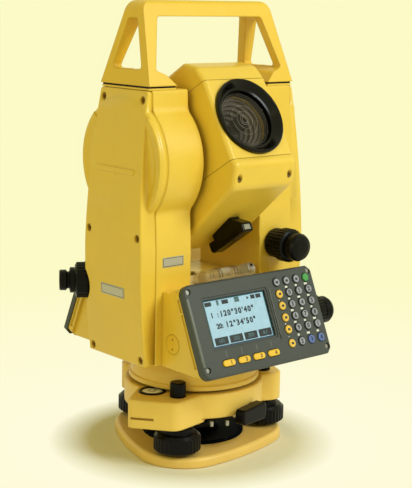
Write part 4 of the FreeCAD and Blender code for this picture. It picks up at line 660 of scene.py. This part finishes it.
# ---------------------------------------------------------------- telescope details
def telescope_screws():
    """Two screws with round sockets in the lower front of the casing, below the objective."""
    bm = bmesh.new()
    profile = [(0, 55.9), (2.1, 55.9), (2.1, 58.2), (1.7, 58.6), (1.1, 58.6), (0.9, 57.6), (0, 57.6)]
    for x in (-24.0, 24.0):
        lathe(bm, sight_frame(), profile, 24, x, -44.2)
    piece("telescope_cover_screws", bm, dark_steel, "telescope", smooth=True)


def lens_reflection_rings():
    """Fine rings just inside the glass of the lens cell, painted reflections of the lens elements, and the
    black nose of the laser tube.
    """
    m = sight_frame()
    bright, dull = bmesh.new(), bmesh.new()
    for index in range(13):
        radius = 2.3 + 1.52 * index
        bm, half = (bright, 0.16) if index in (0, 1, 3, 6) else (dull, 0.2)
        low = 59.4 - 0.012 * radius
        lathe(bm, m, [(radius - half, low), (radius + half, low), (radius + half * 0.4, low + 0.35),
                      (radius - half * 0.4, low + 0.35)], 72)
    piece("lens_rings_bright", bright, painted_reflection_bright, "telescope", smooth=True)
    piece("lens_rings_dull", dull, painted_reflection_dull, "telescope", smooth=True)
    bm = bmesh.new()
    nose = [(0, 50.5), (5.6, 50.5), (5.6, 54.9), (5.0, 55.6), (2.4, 55.6), (1.9, 54.0), (0, 54.0)]
    lathe(bm, m, nose, 40)
    piece("laser_nose", bm, gloss_black, "telescope", smooth=True)


def sight_window():
    """Pale window in the front of the optical sight."""
    bm = bmesh.new()
    pad(bm, sight_frame(), 0, -68.5, 6.0, 4.0, 0.5, 24.3, 24.9, 0.2)
    piece("sight_window", bm, bubble, "telescope", smooth=True)


telescope_screws()
lens_reflection_rings()
sight_window()


# ---------------------------------------------------------------- standards and covers
def cover_bead():
    """Two arcs of a rounded bead round the trunnion disc of the left cover, in front and behind."""
    section = [(46.2, 4.0), (46.1, 5.4), (45.4, 6.6), (44.2, 7.1), (42.6, 7.0), (40.8, 6.6), (39.0, 6.2),
               (37.8, 5.9), (37.8, 4.0)]
    bm = bmesh.new()
    for start in (-46, 134):
        rings = []
        for step in range(29):
            angle = math.radians(start + 92 * step / 28)
            rings.append([bm.verts.new(Vector((-STANDARD_OUTER_X - out, -radius * math.cos(angle),
                                               TRUNNION_Z + radius * math.sin(angle))) * MM)
                          for radius, out in section])
        for one, two in zip(rings, rings[1:]):
            for i in range(len(section)):
                j = (i + 1) % len(section)
                bm.faces.new((one[i], one[j], two[j], two[i]))
        bm.faces.new(rings[0])
        bm.faces.new(rings[-1])
    piece("left_cover_bead", bm, paint, "alidade", smooth=True)


def label_plates():
    """Two bare plates: one on the left cover, one on the front of the left standard."""
    on_cover = cover_frame(-1, 128.5)
    on_front = basis((1, 0, 0), (0, 0, 1), (0, -1, 0), (-51.0, -STANDARD_BOTTOM_HALF_Y, 152.1))
    plates, rims = bmesh.new(), bmesh.new()
    pad(plates, on_cover, 0.3, 0.0, 27.5, 8.0, 0.6, -0.3, 0.3, 0.12)
    pad(plates, on_front, 0, 0, 19.2, 7.2, 0.5, -0.2, 0.3, 0.12)
    for m, x, width, height in ((on_cover, 0.3, 25.9, 6.4), (on_front, 0.0, 17.8, 5.8)):
        for y in (-height / 2, height / 2):
            pad(rims, m, x, y, width, 0.35, 0.1, 0.2, 0.36, 0.04)
        for shift in (-width / 2, width / 2):
            pad(rims, m, x + shift, 0, 0.35, height, 0.1, 0.2, 0.36, 0.04)
    piece("bare_label_plates", plates, bare_plate, "alidade")
    piece("label_plate_borders", rims, dark_ink, "alidade")


def handle_feet_gap_shade():
    """Painted seat under each foot of the handle, with a thin black band above it that is painted shade of
    the gap under the foot.
    """
    seats, gap_shades = bmesh.new(), bmesh.new()
    m = Matrix.Scale(MM, 4)
    for side in (-1, 1):
        pad(seats, m, side * 56.4, 0, 24.4, 55.0, 1.0, STANDARD_TOP - 0.2, STANDARD_TOP + 1.2, 0.3)
        # Black band in the gap under the foot: painted shade.
        pad(gap_shades, m, side * 56.3, 0, 23.8, 54.2, 1.0, STANDARD_TOP + 1.0, HANDLE_BASE_Z + 0.1, 0.1)
    piece("handle_seats", seats, paint, "alidade")
    piece("handle_feet_gap_shade", gap_shades, gap_shade_black, "alidade")


def raised_mark():
    """Soft raised bar with a dot on the left cover, a little below the trunnion axis."""
    m = cover_frame(-1, 216.1)
    bm = bmesh.new()
    pad(bm, m, 0, 0, 44.6, 3.8, 1.8, -0.4, 1.3, 0.9)
    lathe(bm, m, [(0, -0.4), (3.0, -0.4), (2.8, 0.3), (2.1, 1.2), (1.0, 1.5), (0, 1.55)], 32)
    piece("left_cover_mark", bm, paint, "alidade", smooth=True)


cover_bead()
raised_mark()
label_plates()
handle_feet_gap_shade()


# ---------------------------------------------------------------- levels
def circular_level_marks():
    """Black ring and bubble on the vial of the circular level."""
    low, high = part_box("circular_level_vial")
    centre = (low + high) / 2
    m = Matrix.Translation((centre.x, centre.y, high.z)) @ Matrix.Scale(MM, 4)
    bm = bmesh.new()
    lathe(bm, m, [(2.6, -0.25), (3.0, -0.25), (3.0, 0.04), (2.6, 0.06)], 40)
    piece("circular_level_mark", bm, dark_ink, "tribrach", smooth=True)
    bm = bmesh.new()
    lathe(bm, m, [(0, -0.4), (1.7, -0.3), (2.0, 0.0), (1.4, 0.2), (0, 0.3)], 32, 0.5, 0.3)
    piece("circular_level_bubble", bm, bubble, "tribrach", smooth=True)


def plate_level_details():
    """Bubble, graduation, silver adjusting end and holding screw of the plate level."""
    y, z = PLATE_LEVEL_Y, PLATE_LEVEL_Z
    along = basis((0, 1, 0), (0, 0, 1), (1, 0, 0), (0, y, z))
    bm = bmesh.new()
    for x in (-9.0, -6.5, 6.5, 9.0):
        lathe(bm, along, [(5.12, x - 0.2), (5.28, x - 0.2), (5.28, x + 0.2), (5.12, x + 0.2)], 40)
    piece("plate_level_graduation", bm, dark_ink, "alidade", smooth=True)
    bm = bmesh.new()
    shape = [(0, -5.4), (1.6, -5.0), (2.2, -3.6), (2.3, 0), (2.2, 3.6), (1.6, 5.0), (0, 5.4)]
    lathe(bm, along, shape, 28, 0.0, 2.6)
    piece("plate_level_bubble", bm, bubble, "alidade", smooth=True)
    bm = bmesh.new()
    cap = [(0, 20.4), (4.6, 20.4), (5.0, 20.8), (5.0, 26.6), (4.4, 27.2), (0, 27.2)]
    lathe(bm, along, cap, 40, 0.0, 0.4)
    piece("plate_level_end", bm, silver, "alidade", smooth=True)
    sine, cosine, reach = math.sin(0.9), math.cos(0.9), 4.9
    screw = basis((1, 0, 0), (0, sine, cosine), (0, -cosine, sine),
                  (24.0, y - reach * cosine, z + 0.4 + reach * sine))
    bm = bmesh.new()
    lathe(bm, screw, [(0, -0.4), (1.3, -0.4), (1.3, 0.25), (1.0, 0.4), (0, 0.4)], 24)
    piece("plate_level_screw", bm, black, "alidade", smooth=True)


def tribrach_pins():
    """Ends of the pins that hold the spring plate, seen under the tribrach."""
    bm = bmesh.new()
    profile = [(0, 26.9), (1.2, 26.9), (1.5, 27.3), (1.5, 30.6), (0, 30.6)]
    for x, y in ((-23.0, -48.0), (-12.5, -53.5)):
        lathe(bm, Matrix.Scale(MM, 4), profile, 24, x, y)
    piece("tribrach_pins", bm, steel, "tribrach", smooth=True)


circular_level_marks()
plate_level_details()
tribrach_pins()


# ---------------------------------------------------------------- camera
YAW, PITCH, ROLL = math.radians(41.05), math.radians(10.91), math.radians(1.1)
CAMERA_PLACE = (-0.62508, -0.72935, 0.33896)
FOCAL_LENGTH, SENSOR_WIDTH = 95.27, 36.0
forward = Vector((math.sin(YAW) * math.cos(PITCH), math.cos(YAW) * math.cos(PITCH), -math.sin(PITCH)))
level_right = Vector((math.cos(YAW), -math.sin(YAW), 0))
level_up = level_right.cross(forward)
right = math.cos(ROLL) * level_right + math.sin(ROLL) * level_up
up = -math.sin(ROLL) * level_right + math.cos(ROLL) * level_up
camera_data = bpy.data.cameras.new("camera")
camera_data.lens = FOCAL_LENGTH
camera_data.sensor_width = SENSOR_WIDTH
camera = bpy.data.objects.new("camera", camera_data)
camera.matrix_world = Matrix((right, up, -forward)).transposed().to_4x4()
camera.location = CAMERA_PLACE
bpy.context.scene.collection.objects.link(camera)
bpy.context.scene.camera = camera


# ---------------------------------------------------------------- floor, light and backdrop
BACKDROP = rgb(252, 250, 198)
FLOOR, FLOOR_GLOW = rgb(236, 233, 210), rgb(254, 251, 220)
ROOM_LIGHT, ROOM_STRENGTH = (1.0, 0.93, 0.42, 1.0), 0.52
# Radii on the floor, in metres: its edge, the fade of the shadow, the change of its glow to the backdrop
FLOOR_RADIUS = 6.0
SHADOW_START, SHADOW_END = 0.08, 0.112
GLOW_START, GLOW_END = 0.12, 0.6


def seen_ray(tree):
    """1 for rays that should show the backdrop: seen directly, in a reflection or through glass."""
    path = tree.nodes.new("ShaderNodeLightPath")
    total = path.outputs["Is Camera Ray"]
    for name in ("Is Glossy Ray", "Is Transmission Ray"):
        either = tree.nodes.new("ShaderNodeMath")
        either.operation = "MAXIMUM"
        tree.links.new(total, either.inputs[0])
        tree.links.new(path.outputs[name], either.inputs[1])
        total = either.outputs[0]
    return total


def backdrop_world():
    """Warm light all round, with the plain backdrop where the world is seen."""
    world = bpy.data.worlds.new("studio")
    bpy.context.scene.world = world
    world.use_nodes = True
    tree = world.node_tree
    light = tree.nodes["Background"]
    shown = tree.nodes.new("ShaderNodeBackground")
    for node, color, strength in ((light, ROOM_LIGHT, ROOM_STRENGTH), (shown, BACKDROP, 1.0)):
        node.inputs["Color"].default_value = color
        node.inputs["Strength"].default_value = strength
    mix = tree.nodes.new("ShaderNodeMixShader")
    tree.links.new(seen_ray(tree), mix.inputs[0])
    tree.links.new(light.outputs[0], mix.inputs[1])
    tree.links.new(shown.outputs[0], mix.inputs[2])
    tree.links.new(mix.outputs[0], tree.nodes["World Output"].inputs["Surface"])


def floor():
    """Disc that takes the shadow under the tribrach and glows as the backdrop further out."""
    bm = bmesh.new()
    bmesh.ops.create_circle(bm, cap_ends=True, radius=FLOOR_RADIUS, segments=96)
    mesh = bpy.data.meshes.new("floor")
    bm.to_mesh(mesh)
    bm.free()
    obj = bpy.data.objects.new("floor", mesh)
    bpy.context.scene.collection.objects.link(obj)
    g = Graph(bpy.data.materials.new("floor"))
    where = g.add("TexCoord").outputs["Object"]
    grain = g.ranged(g.noise(where, 60.0), 0.3, 0.7)
    g.feed(g.shader.inputs["Base Color"], g.mix(grain, scaled(FLOOR, 0.985), FLOOR))
    g.shader.inputs["Roughness"].default_value = 0.8
    g.shader.inputs["Specular IOR Level"].default_value = 0.1
    length = g.add("VectorMath", {0: where}, operation="LENGTH").outputs["Value"]
    glow = g.mix(g.ranged(length, GLOW_START, GLOW_END), FLOOR_GLOW, BACKDROP)
    shown = g.add("Emission", {"Color": glow, "Strength": 1.0})
    amount = g.math("MULTIPLY", g.ranged(length, SHADOW_START, SHADOW_END), seen_ray(g.tree))
    mix = g.add("MixShader", {0: amount, 1: g.shader.outputs[0], 2: shown.outputs[0]})
    g.feed(g.tree.nodes["Material Output"].inputs["Surface"], mix.outputs[0])
    mesh.materials.append(g.material)


def lamp(name, place, target, size, watts, color):
    """Round area lamp turned to a target."""
    data = bpy.data.lights.new(name, "AREA")
    data.shape = "DISK"
    data.size = size
    data.energy = watts
    data.color = color
    obj = bpy.data.objects.new(name, data)
    bpy.context.scene.collection.objects.link(obj)
    obj.location = place
    obj.rotation_mode = "QUATERNION"
    obj.rotation_quaternion = (Vector(target) - Vector(place)).to_track_quat("-Z", "Y")


backdrop_world()
floor()
lamp("key", (0.55, -1.75, 1.35), (0, 0, 0.15), 0.9, 28.5, (0.91, 0.965, 1.0))
lamp("fill", (-1.9, -0.4, 0.8), (0, 0, 0.17), 1.2, 5.0, (1.0, 0.92, 0.4))
bpy.context.scene.view_settings.view_transform = "Standard"
